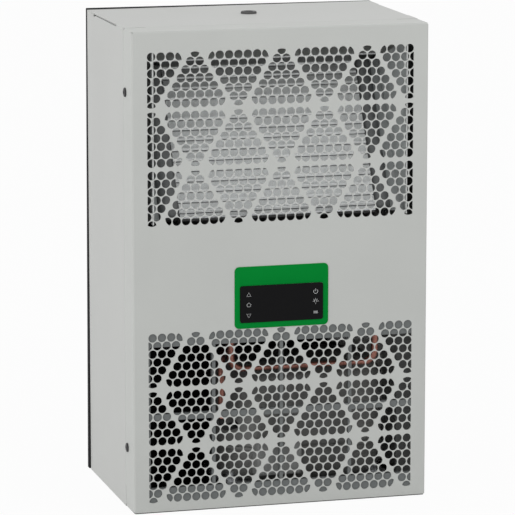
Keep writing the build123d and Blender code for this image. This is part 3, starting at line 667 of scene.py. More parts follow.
class GeometryTree(NodeTree):
    """A geometry tree with named inputs that ends in realized, dressed geometry."""

    def __init__(self, name: str, inputs: dict[str, str]) -> None:
        """Makes the tree.

        Args:
            name: Its name.
            inputs: Names of the inputs with their kinds, such as Float.
        """
        group = bpy.data.node_groups.new(name, "GeometryNodeTree")
        super().__init__(group)
        self.identifiers = {}
        for label, kind in {"Geometry": "Geometry", **inputs, "Finish": "Material"}.items():
            socket = group.interface.new_socket(name=label, in_out="INPUT", socket_type=f"NodeSocket{kind}")
            self.identifiers[label] = socket.identifier
        group.interface.new_socket(name="Geometry", in_out="OUTPUT", socket_type="NodeSocketGeometry")
        self.source = self.node("NodeGroupInput")

    def given(self, label: str) -> Signal:
        """One of the tree's inputs."""
        return Signal(self, self.source.outputs[label])

    def vector(self, operation: str, first: object, second: object, output: str = "Vector") -> Signal:
        """Adds a Vector Math node."""
        inputs = {0: first} if second is None else {0: first, 1: second}
        return self.signal("ShaderNodeVectorMath", {"operation": operation}, inputs, output)

    def end(self, geometry: Signal) -> None:
        """Realizes the geometry, sets its material and ends the tree.

        Args:
            geometry: The geometry.
        """
        realized = self.signal("GeometryNodeRealizeInstances", None, {"Geometry": geometry})
        inputs = {"Geometry": realized, "Material": self.given("Finish")}
        dressed = self.signal("GeometryNodeSetMaterial", None, inputs)
        self.node("NodeGroupOutput", None, {"Geometry": dressed})

    def run(self, piece: bpy.types.Object, coat: Coat, values: dict[str, object]) -> bpy.types.Object:
        """Runs the tree on an object and makes a plain mesh of the result.

        Args:
            piece: The object that the tree starts from, which is used up.
            coat: The finish for the result.
            values: Values for the named inputs.

        Returns:
            The mesh object.
        """
        modifier = piece.modifiers.new("shape", "NODES")
        modifier.node_group = self.tree
        for label, value in {**values, "Finish": coat.value.material()}.items():
            modifier[self.identifiers[label]] = value
        return Workshop.baked(piece)


class RowTree(GeometryTree):
    """Copies the object's mesh in an even row."""

    def __init__(self) -> None:
        """Builds the tree."""
        super().__init__("even_row", {"Count": "Int", "Step": "Vector"})
        inputs = {"Count": self.given("Count"), "Offset": self.given("Step")}
        line = self.signal("GeometryNodeMeshLine", {"mode": "OFFSET"}, inputs)
        inputs = {"Points": line, "Instance": self.given("Geometry")}
        self.end(self.signal("GeometryNodeInstanceOnPoints", None, inputs))


class PlacedTree(GeometryTree):
    """Copies the object's mesh to the vertices of another, along their directions."""

    def __init__(self) -> None:
        """Builds the tree."""
        super().__init__("placed_copies", {"Places": "Object"})
        places = self.node("GeometryNodeObjectInfo", None, {"Object": self.given("Places")})
        direction = self.signal(
            "GeometryNodeInputNamedAttribute", {"data_type": "FLOAT_VECTOR"}, {"Name": "direction"}
        )
        turn = self.signal("FunctionNodeAlignRotationToVector", {"axis": "Z"}, {"Vector": direction})
        inputs = {"Points": places.outputs["Geometry"], "Instance": self.given("Geometry"), "Rotation": turn}
        self.end(self.signal("GeometryNodeInstanceOnPoints", None, inputs))

    def copy(self, piece: bpy.types.Object, coat: Coat,
             places: list[tuple[Vector, Vector]]) -> bpy.types.Object:
        """Copies a piece to places.

        Args:
            piece: The object with the mesh to copy, up its own Z, which is used up.
            coat: Its finish.
            places: Points with the directions that the copies' Z takes.

        Returns:
            The joined copies as one mesh object.
        """
        mesh = bpy.data.meshes.new("places")
        mesh.from_pydata([tuple(point) for point, _ in places], [], [])
        directions = mesh.attributes.new("direction", "FLOAT_VECTOR", "POINT")
        directions.data.foreach_set("vector", [part for _, way in places for part in way])
        marks = Workshop.add("places", mesh)
        made = self.run(piece, coat, {"Places": marks})
        bpy.data.objects.remove(marks)
        return made


class PerforationTree(GeometryTree):
    """Fills a rectangle round the holes that stand at the object's vertices."""

    def __init__(self) -> None:
        """Builds the tree in the XY plane, then stands it up facing -Y."""
        inputs = {"Hole Radius": "Float", "Hole Points": "Int", "Width": "Float", "Height": "Float",
                  "Middle": "Vector", "Front": "Vector"}
        super().__init__("perforated_sheet", inputs)
        values = {"Resolution": self.given("Hole Points"), "Radius": self.given("Hole Radius")}
        circle = self.signal("GeometryNodeCurvePrimitiveCircle", None, values)
        values = {"Points": self.given("Geometry"), "Instance": circle}
        copies = self.signal("GeometryNodeInstanceOnPoints", None, values)
        holes = self.signal("GeometryNodeRealizeInstances", None, {"Geometry": copies})
        clipped = self.signal(
            "GeometryNodeSetPosition", None, {"Geometry": holes, "Offset": self._pull_back()}
        )
        values = {"Width": self.given("Width"), "Height": self.given("Height")}
        outline = self.signal("GeometryNodeCurvePrimitiveQuadrilateral", None, values)
        outline = self.signal(
            "GeometryNodeTransform", None, {"Geometry": outline, "Translation": self.given("Middle")}
        )
        joined = self.node("GeometryNodeJoinGeometry")
        self.tree.links.new(clipped.socket, joined.inputs[0])
        self.tree.links.new(outline.socket, joined.inputs[0])
        sheet = self.signal("GeometryNodeFillCurve", None, {"Curve": joined.outputs[0]})
        values = {"Geometry": sheet, "Rotation": (math.radians(90), 0, 0), "Translation": self.given("Front")}
        self.end(self.signal("GeometryNodeTransform", None, values))

    def _attribute(self, name: str, kind: str) -> Signal:
        """A named attribute of the hole that a point belongs to."""
        return self.signal("GeometryNodeInputNamedAttribute", {"data_type": kind}, {"Name": name})

    def _pull_back(self) -> Signal:
        """Works out how points outside a hole's limiting circle move back onto it.

        Returns:
            The offset.
        """
        position = self.signal("GeometryNodeInputPosition")
        offset = self.vector("SUBTRACT", position, self._attribute("limit_centre", "FLOAT_VECTOR"))
        distance = self.vector("LENGTH", offset, None, "Value")
        excess = (distance - self._attribute("limit_radius", "FLOAT")).at_least(0.0)
        way = self.vector("NORMALIZE", offset, None)
        node = self.node("ShaderNodeVectorMath", {"operation": "SCALE"}, {0: way, "Scale": excess * -1.0})
        return Signal(self, node.outputs["Vector"])


@dataclass
class CaseSizes:
    """Sizes of the case, read from the frame where it gives them."""

    width: float = 260.0 * MM
    height: float = 414.0 * MM
    cover_depth: float = 31.0 * MM
    sheet: float = 1.2 * MM
    bend: float = 1.3 * MM
    seam: float = 0.3 * MM

    @property
    def front(self) -> float:
        """Y of the front face."""
        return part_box("front_cover")[0].y

    @property
    def joint(self) -> float:
        """Y of the joint between cover and chassis."""
        return self.front + self.cover_depth

    def level(self, from_top: float) -> float:
        """Height of a place given in millimetres from the top edge."""
        return self.height - from_top * MM

    def behind(self, depth: float) -> float:
        """Y of a place given in millimetres behind the front face."""
        return self.front + depth * MM

    def across(self, from_left: float) -> float:
        """X of a place given in millimetres from the left edge."""
        return from_left * MM - self.width / 2


@dataclass
class Perforation:
    """Triangular fields of round holes; sizes in millimetres."""

    pitch: float = 8.124
    radius: float = 3.75
    points: int = 24
    rows: int = 7
    spacing: float = 75.5
    band_pitch: float = 50.29
    bands: int = 3
    offset: float = 2.5
    corner_clip: float = 1.15
    corner_arc: float = 6.85
    half_width: float = 117.0
    straight: float = 4000.0
    columns: int = 3
    side_share: float = 0.75

    def holes(self, top: float) -> list[tuple[Place, Place, float]]:
        """All holes of a grille.

        Args:
            top: Height of the first row, in millimetres from the top edge.

        Returns:
            For each hole its centre (from the middle, from the top), and the centre and the radius
            of the circle that limits it.
        """
        row_pitch = self.pitch * math.sqrt(3) / 2
        height = (self.rows - 1) * row_pitch
        found = []
        for band in range(self.bands):
            for step in range(-self.columns, self.columns + 1):
                apex_up = (band + step) % 2 == 0
                way = 1 if apex_up else -1
                apex = top + band * self.band_pitch + (0 if apex_up else self.offset + height)
                for row in range(self.rows):
                    for place in range(row + 1):
                        x = step * self.spacing / 2 + (place - row / 2) * self.pitch
                        down = apex + way * row * row_pitch
                        found.append(self._clip((x, down), self._corner(row, place), way))
        edge = self.half_width + self.side_share * self.radius
        return [hole for hole in found if abs(hole[0][0]) < edge]

    def _corner(self, row: int, place: int) -> float | None:
        """Turn of a field's corner that a hole stands at.

        Args:
            row: The hole's row, from the field's point.
            place: Its place in the row.

        Returns:
            The turn in degrees, or None for any other hole.
        """
        if row == 0:
            return 0.0
        if row == self.rows - 1 and place in (0, row):
            return -120.0 if place == 0 else 120.0
        return None

    def _clip(self, centre: Place, turn: float | None, way: int) -> tuple[Place, Place, float]:
        """Finds the one circle that limits a hole.

        The grille's straight side is part of a very large circle. A field's corner hole is cut by
        an arc that bulges outwards.

        Args:
            centre: The hole's centre.
            turn: Turn of the field's corner that it stands at, or None.
            way: 1 where the field points up, -1 where it points down.

        Returns:
            The hole's centre, and its limiting circle's centre and radius.
        """
        side = 1 if centre[0] > 0 else -1
        if self.half_width - abs(centre[0]) < self.radius:
            return centre, (side * (self.half_width - self.straight), centre[1]), self.straight
        if turn is None:
            return centre, centre, self.pitch
        angle = math.radians(turn)
        back = self.corner_arc - self.corner_clip
        middle = (centre[0] - back * math.sin(angle), centre[1] + back * way * math.cos(angle))
        return centre, middle, self.corner_arc


@dataclass
class Cover:
    """Folded front cover in one piece, with both perforated fields."""

    sizes: CaseSizes
    pattern: Perforation
    upper_top: float = 18.9
    lower_top: float = 258.72
    relief: float = 18.0 * MM
    relief_depth: float = 1.5 * MM
    corner_relief: float = 1.6 * MM
    arc_steps: int = 5
    sharp: float = 28.0

    def build(self) -> bpy.types.Object:
        """Builds and dresses the cover.

        Returns:
            The cover's object.
        """
        sheet = self._perforated_face()
        shape = bmesh.new()
        shape.from_mesh(sheet.data)
        bpy.data.objects.remove(sheet)
        self._add_rim(shape)
        bmesh.ops.remove_doubles(shape, verts=shape.verts, dist=WELD)
        bmesh.ops.recalc_face_normals(shape, faces=shape.faces)
        if max(shape.faces, key=lambda face: face.calc_area()).normal.y > 0:
            bmesh.ops.reverse_faces(shape, faces=shape.faces)
        piece = Workshop.from_bmesh("front_cover_sheet", shape)
        modifier = piece.modifiers.new("sheet", "SOLIDIFY")
        modifier.thickness = self.sizes.sheet
        modifier.offset = -1.0
        modifier.use_even_offset = True
        piece = Workshop.smooth(Workshop.baked(piece), self.sharp)
        return Workshop.dress(piece, Coat.COVER, "front_cover", "upper_grille", "lower_grille")

    def _perforated_face(self) -> bpy.types.Object:
        """Builds the flat front skin with all holes, inside the bends.

        Returns:
            The skin's object.
        """
        sizes = self.sizes
        holes = self.pattern.holes(self.upper_top) + self.pattern.holes(self.lower_top)
        centres = [(x * MM, sizes.level(down), 0.0) for (x, down), _, _ in holes]
        mesh = bpy.data.meshes.new("hole_centres")
        mesh.from_pydata(centres, [], [])
        middles = mesh.attributes.new("limit_centre", "FLOAT_VECTOR", "POINT")
        rows = [(x * MM, sizes.level(down), 0.0) for _, (x, down), _ in holes]
        middles.data.foreach_set("vector", [part for row in rows for part in row])
        limits = mesh.attributes.new("limit_radius", "FLOAT", "POINT")
        limits.data.foreach_set("value", [limit * MM for _, _, limit in holes])
        values = {
            "Hole Radius": self.pattern.radius * MM,
            "Hole Points": self.pattern.points,
            "Width": sizes.width - 2 * sizes.bend,
            "Height": sizes.height - 2 * sizes.bend,
            "Middle": (0.0, sizes.height / 2, 0.0),
            "Front": (0.0, sizes.front, 0.0),
        }
        return PerforationTree().run(Workshop.add("hole_centres", mesh), Coat.COVER, values)

    def _corner_ring(self, slope: float, depth: float | None = None) -> list[Vector]:
        """Points round the cover at one step of the bend.

        Args:
            slope: Angle of the bend, from 0 at the face to 90 degrees at the flange.
            depth: Y of the points, or None for the bend's own.

        Returns:
            The points, corner by corner.
        """
        sizes = self.sizes
        half = sizes.width / 2 - sizes.bend
        centres = ((-half, sizes.bend, 180), (half, sizes.bend, 270),
                   (half, sizes.height - sizes.bend, 0), (-half, sizes.height - sizes.bend, 90))
        out = sizes.bend * math.sin(slope)
        points = []
        for x, z, start in centres:
            for step in range(self.arc_steps + 1):
                turn = math.radians(start + 90 * step / self.arc_steps)
                y = sizes.front + sizes.bend * (1 - math.cos(slope)) if depth is None else depth
                points.append(Vector((x + out * math.cos(turn), y, z + out * math.sin(turn))))
        return points

    def _add_rim(self, shape: bmesh.types.BMesh) -> None:
        """Adds the bend and the flange to the flat skin; each corner keeps its small relief holes.

        Args:
            shape: The skin.
        """
        sizes = self.sizes
        rings = [self._corner_ring(math.pi / 2 * step / self.arc_steps) for step in range(self.arc_steps + 1)]
        end = sizes.joint - sizes.seam - self.relief_depth
        for depth in (sizes.front + sizes.bend + self.corner_relief, end - self.corner_relief, end):
            rings.append(self._corner_ring(math.pi / 2, depth))
        kept = len(rings) - 2
        rows = [[shape.verts.new(point) for point in ring] for ring in rings]
        count = len(rows[0])
        for near, far in zip(rows, rows[1:]):
            for index in range(count):
                after = (index + 1) % count
                step = index % (self.arc_steps + 1)
                if far is rows[-1] and step == self.arc_steps:
                    self._flange(shape, [near[index], near[after]], [far[index], far[after]])
                elif far is rows[kept] or step == self.arc_steps:
                    shape.faces.new((near[index], far[index], far[after], near[after]))

    def _flange(self, shape: bmesh.types.BMesh, near: list[bmesh.types.BMVert],
                far: list[bmesh.types.BMVert]) -> None:
        """Adds one straight flange whose rear edge has a relief at each end.

        Args:
            shape: The bmesh.
            near: The front edge's two ends.
            far: The rear edge's two ends.
        """
        along = (far[1].co - far[0].co).normalized()
        back = Vector((0.0, self.relief_depth, 0.0))
        first = far[0].co + along * self.relief
        last = far[1].co - along * self.relief
        edge = [first, first + back, last + back, last]
        corners = [shape.verts.new(point) for point in edge]
        shape.faces.new((near[0], far[0], *corners, far[1], near[1]))


@dataclass
class OperatingPanel:
    """Surround and controller front with generic symbols; sizes in millimetres."""

    sizes: CaseSizes
    stroke: float = 0.28
    proud: float = 0.06
    left_column: float = 100.8
    right_column: float = 160.1
    symbol: float = 1.9
    left_levels: Place3 = (227.8, 236.6, 245.8)
    right_levels: Place3 = (227.7, 236.2, 245.8)
    lamp_foot: Place = (1.7, 2.7)
    ray_share: Place = (0.95, 1.35)
    bar_share: float = 0.4
    arrow_share: float = 0.7
    stem_share: float = 1.25
    bulb_share: float = 0.6
    power_arc: Place = (40.0, 320.0)
    bulb_arc: Place = (-150.0, 150.0)
    ray_turns: tuple[float, ...] = (-90.0, -45.0, 0.0, 45.0, 90.0)
    label_edge: float = 0.12
    house: tuple[Place, ...] = ((0.0, -1.0), (1.0, -0.1), (0.6, 0.8), (-0.6, 0.8), (-1.0, -0.1))

    def build(self) -> None:
        """Builds the surround, the window and its symbols."""
        label = refined("control_label", "control_surround")
        Workshop.bevel(label, self.label_edge * MM)
        Workshop.dress(Workshop.smooth(Workshop.baked(label)), Coat.LABEL, "control_label")
        window = refined("controller_window", "controller_front")
        Workshop.dress(Workshop.smooth(window), Coat.WINDOW, "controller_window")
        self._symbols()

    def _symbols(self) -> None:
        """Draws the six symbols as thin raised strokes."""
        curve = bpy.data.curves.new("panel_symbols", "CURVE")
        curve.dimensions = "3D"
        curve.bevel_depth = self.stroke / 2 * MM
        curve.bevel_resolution = 2
        for points, closed in self._strokes():
            spline = curve.splines.new("POLY")
            spline.points.add(len(points) - 1)
            spline.use_cyclic_u = closed
            for point, (x, down) in zip(spline.points, points):
                place = (self.sizes.across(x), 0.0, self.sizes.level(down))
                point.co = (*place, 1.0)
        piece = Workshop.baked(Workshop.add("panel_symbols", curve))
        flat = Matrix.Diagonal((1.0, self.proud / self.stroke, 1.0, 1.0))
        piece.data.transform(Matrix.Translation((0.0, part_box("controller_window")[0].y, 0.0)) @ flat)
        Workshop.dress(Workshop.smooth(piece), Coat.ICON)

    def _strokes(self) -> list[tuple[list[Place], bool]]:
        """The strokes of all symbols.

        Returns:
            Points in millimetres from the left and top edges, with whether a stroke is closed.
        """
        size = self.symbol
        left = self.left_column
        right = self.right_column
        upper, middle, lower = self.left_levels
        strokes = []
        for down, way in ((upper, -1), (lower, 1)):
            base = down - way * size * self.arrow_share
            strokes.append(([(left - size, base), (left, down + way * size), (left + size, base)], True))
        strokes.append(([(left + x * size, middle + down * size) for x, down in self.house], True))
        upper, middle, lower = self.right_levels
        strokes.append((self._arc(right, upper, size, *self.power_arc), False))
        strokes.append(([(right, upper - size * self.stem_share), (right, upper)], False))
        strokes.append((self._arc(right, middle, size * self.bulb_share, *self.bulb_arc), False))
        strokes.append(([(right, middle + foot) for foot in self.lamp_foot], False))
        for turn in self.ray_turns:
            x, up = math.sin(math.radians(turn)) * size, math.cos(math.radians(turn)) * size
            strokes.append(([(right + x * share, middle - up * share) for share in self.ray_share], False))
        for row in (-1, 0, 1):
            level = lower + row * size * self.bar_share
            strokes.append(([(right - size, level), (right + size, level)], False))
        return strokes

    @staticmethod
    def _arc(x: float, down: float, radius: float, start: float, end: float) -> list[Place]:
        """Points of an arc whose opening is centred on its top.

        Args:
            x: Its centre from the left edge.
            down: Its centre from the top edge.
            radius: Its radius.
            start: Where it starts, in degrees from the top.
            end: Where it ends.

        Returns:
            The points.
        """
        steps = 16
        points = []
        for step in range(steps + 1):
            angle = math.radians(start + (end - start) * step / steps)
            points.append((x + radius * math.sin(angle), down - radius * math.cos(angle)))
        return points


def refined(node: str, name: str) -> bpy.types.Object:
    """Copies a node of the frame with its triangles joined.

    Args:
        node: The node's name.
        name: The copy's name.

    Returns:
        The copy, not yet dressed.
    """
    shape = bmesh.new()
    shape.from_mesh(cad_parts[node].data)
    bmesh.ops.remove_doubles(shape, verts=shape.verts, dist=FRAME_WELD)
    bmesh.ops.dissolve_limit(shape, angle_limit=FLAT, verts=shape.verts, edges=shape.edges)
    piece = Workshop.from_bmesh(name, shape)
    piece.data.materials.clear()
    return piece


@dataclass
class Condenser:
    """Inclined coil: flat tubes, corrugated fins and round headers; sizes in millimetres."""

    sizes: CaseSizes
    width: float = 173.0
    bottom: float = 160.0
    top: float = 37.0
    bottom_depth: float = 10.0
    top_depth: float = 76.0
    thickness: float = 16.0
    tubes: int = 15
    tube_height: float = 2.0
    tube_overhang: float = 1.2
    tube_round: float = 0.45
    fin_step: float = 1.1
    fin_depth: float = 1.4
    fin_gap: float = 0.75
    fin_dip: float = 1.05
    fin_overhang: float = 1.6
    header_width: float = 4.0
    header_middle: float = 0.1

    @property
    def length(self) -> float:
        """Length up the slope."""
        return math.hypot(self.bottom - self.top, self.top_depth - self.bottom_depth)

    @property
    def pitch(self) -> float:
        """Distance from tube to tube."""
        return self.length / self.tubes

    def slope(self) -> Matrix:
        """Works out how the coil lies.

        Returns:
            Matrix from the coil's own axes (across, up the slope, out of its face) to the frame.
        """
        lean = math.atan2(self.top_depth - self.bottom_depth, self.bottom - self.top)
        across = Vector((1.0, 0.0, 0.0))
        up = Vector((0.0, math.sin(lean), math.cos(lean)))
        out = Vector((0.0, -math.cos(lean), math.sin(lean)))
        turn = Matrix((across, up, out)).transposed().to_4x4()
        origin = (0.0, self.sizes.behind(self.bottom_depth), self.sizes.level(self.bottom))
        return Matrix.Translation(origin) @ turn

    def build(self) -> None:
        """Builds tubes, fins, the dark inside and headers."""
        row = RowTree()
        tubes = self._laid(row.run(self._tube(), Coat.COIL, self._row(self.tubes)), "condenser_tubes")
        Workshop.dress(Workshop.smooth(tubes), Coat.COIL, "condenser_core")
        for name, front in (("condenser_fins_front", 0.0), ("condenser_fins_rear", -self.thickness)):
            fins = row.run(self._fins(front), Coat.FIN, self._row(self.tubes + 1))
            for vertex in fins.data.vertices:
                vertex.co.y = max(vertex.co.y, -self.fin_overhang * MM)
            Workshop.dress(self._laid(fins, name), Coat.FIN)
        Workshop.dress(self._laid(self._pack(), "condenser_pack"), Coat.SHADOW)
        for side in ("left", "right"):
            header = refined(f"condenser_header_{side}", f"header_{side}")
            if side == "left":
                self._widen(header)
            Workshop.dress(Workshop.smooth(header), Coat.HEADER, f"condenser_header_{side}")

    def _widen(self, header: bpy.types.Object) -> None:
        """Widens a header towards the fins.

        Args:
            header: The header on the left.
        """
        across = [vertex.co.x for vertex in header.data.vertices]
        middle = (min(across) + max(across)) / 2
        for vertex in header.data.vertices:
            if vertex.co.x > middle + self.header_middle * MM:
                vertex.co.x += self.header_width * MM

    def _row(self, count: int) -> dict[str, object]:
        """Values for an even row up the slope."""
        return {"Count": count, "Step": (0.0, self.pitch * MM, 0.0)}

    def _laid(self, piece: bpy.types.Object, name: str) -> bpy.types.Object:
        """Moves a row from the coil's own axes to its place.

        Args:
            piece: The row.
            name: Its name.

        Returns:
            The same object.
        """
        piece.data.transform(self.slope())
        piece.name = name
        return piece

    def _tube(self) -> bpy.types.Object:
        """Builds the lowest flat tube with rounded edges.

        Returns:
            The tube in the coil's own axes.
        """
        shape = bmesh.new()
        half = self.width / 2 * MM
        middle = self.pitch / 2
        low = (-half, (middle - self.tube_height / 2) * MM, -(self.thickness + self.tube_overhang) * MM)
        high = (half, (middle + self.tube_height / 2) * MM, self.tube_overhang * MM)
        Workshop.box(shape, Vector(low), Vector(high))
        edges = [edge for edge in shape.edges if abs(edge.verts[0].co.x - edge.verts[1].co.x) > half]
        bmesh.ops.bevel(shape, geom=edges, offset=self.tube_height * self.tube_round * MM, segments=3,
                         affect="EDGES")
        return Workshop.from_bmesh("tube", shape)

    def _pack(self) -> bpy.types.Object:
        """Builds the louvred inside of the fins as a dark block in painted shade, which closes the view
        through them.

        Returns:
            The block in the coil's own axes.
        """
        shape = bmesh.new()
        half = self.width / 2
        low = Vector((-half, -self.pitch / 3, self.fin_depth - self.thickness)) * MM
        high = Vector((half, self.length + self.pitch / 3, -self.fin_depth)) * MM
        Workshop.box(shape, low, high)
        return Workshop.from_bmesh("condenser_pack", shape)

    def _fins(self, front: float) -> bpy.types.Object:
        """Builds the corrugated edge of the fins below the lowest tube.

        Args:
            front: Distance of the coil's face in front of the coil plane.

        Returns:
            The strip with its folds running up the slope.
        """
        shape = bmesh.new()
        half = self.width / 2
        count = round(self.width / self.fin_step)
        inward = -1 if front == 0.0 else 1
        columns = []
        for index in range(2 * count + 1):
            x = (-half + index * self.width / (2 * count)) * MM
            z = front + (self.fin_depth * inward * self.fin_dip if index % 2 else 0.0)
            reach = (self.pitch - self.tube_height) / 2
            edges = (-reach, reach - self.fin_gap)
            columns.append([shape.verts.new((x, y * MM, z * MM)) for y in edges])
        for near, far in zip(columns, columns[1:]):
            corners = (near[0], far[0], far[1], near[1])
            shape.faces.new(corners if inward < 0 else tuple(reversed(corners)))
        return Workshop.from_bmesh("fins", shape)


@dataclass
class Fasteners:
    """Screws, nuts and the lifting insert's collar; sizes in millimetres."""

    sizes: CaseSizes
    cover_inset: float = 53.5
    cover_depth: float = 24.0
    cover_head: Place = (4.0, 1.6)
    guard_head: Place = (3.4, 1.8)
    guard_inset: float = 3.5
    stud_radius: float = 3.0
    steps: int = 24
    collar_steps: int = 40
    collar: tuple[Place, ...] = ((4.0, 0.0), (6.9, 0.0), (6.9, 1.4), (6.4, 1.9), (4.5, 1.9), (4.0, 1.4))
    dome: tuple[Place, ...] = ((1.0, 0.0), (1.0, 0.35), (0.93, 0.7), (0.75, 0.9), (0.45, 1.0))
    recess: Place3 = (0.12, 0.45, 0.25)
    nut: tuple[tuple[int, float, float, float], ...] = (
        (24, 6.4, 0.0, 1.2), (6, 5.6, 1.2, 5.6), (16, 2.9, 5.6, 8.0)
    )

    def build(self) -> None:
        """Builds all small fixings."""
        copies = PlacedTree()
        centre = sum(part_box("lifting_nut"), Vector()) / 2
        seat = [(Vector((centre.x, centre.y, self.sizes.height)), Vector((0.0, 0.0, 1.0)))]
        screw = self._pan_head(*self.cover_head)
        guard_screw = self._pan_head(*self.guard_head)
        for name, piece, coat, places, nodes in (
            ("side_screws", screw, Coat.SCREW, self._cover_places(), ["cover_screws"]),
            ("foot_nuts", self._hex_nut(), Coat.PLATED, self._foot_places(), []),
            ("guard_screws", guard_screw, Coat.PLATED, self._guard_places(), []),
            ("lifting_collar", self._collar(), Coat.NUT, seat, []),
        ):
            made = copies.copy(piece, coat, places)
            made.name = name
            Workshop.dress(Workshop.smooth(made), coat, *nodes)

    def _cover_places(self) -> list[tuple[Vector, Vector]]:
        """Finds the screws in the cover's sides.

        Returns:
            Their places and directions.
        """
        half = self.sizes.width / 2
        y = self.sizes.behind(self.cover_depth)
        inset = self.cover_inset * MM
        return [
            (Vector((side * half, y, z)), Vector((side, 0.0, 0.0)))
            for side in (-1, 1)
            for z in (inset, self.sizes.height - inset)
        ]

    def _foot_places(self) -> list[tuple[Vector, Vector]]:
        """Finds the nuts on the compressor's feet.

        Returns:
            Their places and directions.
        """
        low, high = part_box("compressor_studs")
        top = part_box("compressor_base")[1].z
        radius = self.stud_radius * MM
        up = Vector((0.0, 0.0, 1.0))
        xs = (low.x + radius, high.x - radius)
        ys = (low.y + radius, high.y - radius)
        return [(Vector((x, y, top)), up) for x in xs for y in ys]

    def _guard_places(self) -> list[tuple[Vector, Vector]]:
        """Finds the screws that hold the fan guard.

        Returns:
            Their places and directions.
        """
        low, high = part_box("fan_guard")
        middle = (low + high) / 2
        reach = (high.x - low.x) / 2 - self.guard_inset * MM
        out = Vector((0.0, 1.0, 0.0))
        return [
            (Vector((middle.x + side * reach, high.y, middle.z + end * reach)), out)
            for side in (-1, 1)
            for end in (-1, 1)
        ]

    @staticmethod
    def _turned(shape: bmesh.types.BMesh, profile: list[Place], steps: int,
                closed: bool = False) -> list[list[bmesh.types.BMVert]]:
        """Turns a profile round Z.

        Args:
            shape: The bmesh that it is added to.
            profile: Radius and height of each ring, in millimetres.
            steps: Number of points round.
            closed: Whether the last ring is joined to the first.

        Returns:
            The rings' vertices.
        """
        rows = []
        for radius, rise in profile:
            row = []
            for step in range(steps):
                turn = 2 * math.pi * step / steps
                point = Vector((radius * math.cos(turn), radius * math.sin(turn), rise))
                row.append(shape.verts.new(point * MM))
            rows.append(row)
        for low, high in zip(rows, rows[1:] + rows[:1] if closed else rows[1:]):
            for step in range(steps):
                after = (step + 1) % steps
                shape.faces.new((low[step], low[after], high[after], high[step]))
        return rows

    def _collar(self) -> bpy.types.Object:
        """Builds the lifting insert's flange on the sheet, up its own Z.

        Returns:
            The flange.
        """
        shape = bmesh.new()
        self._turned(shape, self.collar, self.collar_steps, True)
        bmesh.ops.recalc_face_normals(shape, faces=shape.faces)
        return Workshop.from_bmesh("collar", shape)

    def _pan_head(self, radius: float, height: float) -> bpy.types.Object:
        """Builds a domed head with a cross recess, up its own Z.

        Args:
            radius: The head's radius in millimetres.
            height: The head's height in millimetres.

        Returns:
            The screw head.
        """
        shape = bmesh.new()
        rows = self._turned(shape, [(radius * share, height * rise) for share, rise in self.dome], self.steps)
        arm, reach, deep = (share * size for share, size in zip(self.recess, (radius, radius, height)))
        cross = []
        for quarter in range(4):
            turn = Matrix.Rotation(math.pi / 2 * quarter, 3, "Z")
            for x, y in ((reach, -arm), (reach, arm), (arm, arm)):
                cross.append(turn @ Vector((x, y, 0.0)))
        top, floor = (
            [shape.verts.new((point + Vector((0.0, 0.0, z))) * MM) for point in cross] for z in (height, deep)
        )
        for index in range(len(top)):
            after = (index + 1) % len(top)
            shape.faces.new((top[index], floor[index], floor[after], top[after]))
        shape.faces.new(floor)
        shape.faces.new(list(reversed(rows[0])))
        bmesh.ops.bridge_loops(shape, edges=[
            edge for edge in shape.edges if edge.is_boundary and edge.verts[0].co.z > height * 0.99 * MM
        ])
        bmesh.ops.recalc_face_normals(shape, faces=shape.faces)
        return Workshop.from_bmesh("pan_head", shape)

    def _hex_nut(self) -> bpy.types.Object:
        """Builds a hexagon nut on a washer, with its stud's end, up its own Z.

        Returns:
            The nut.
        """
        shape = bmesh.new()
        for sides, radius, low, high in self.nut:
            matrix = Matrix.Translation((0.0, 0.0, (low + high) / 2 * MM))
            bmesh.ops.create_cone(
                shape, cap_ends=True, segments=sides, radius1=radius * MM, radius2=radius * MM,
                depth=(high - low) * MM, matrix=matrix,
            )
        return Workshop.from_bmesh("hex_nut", shape)


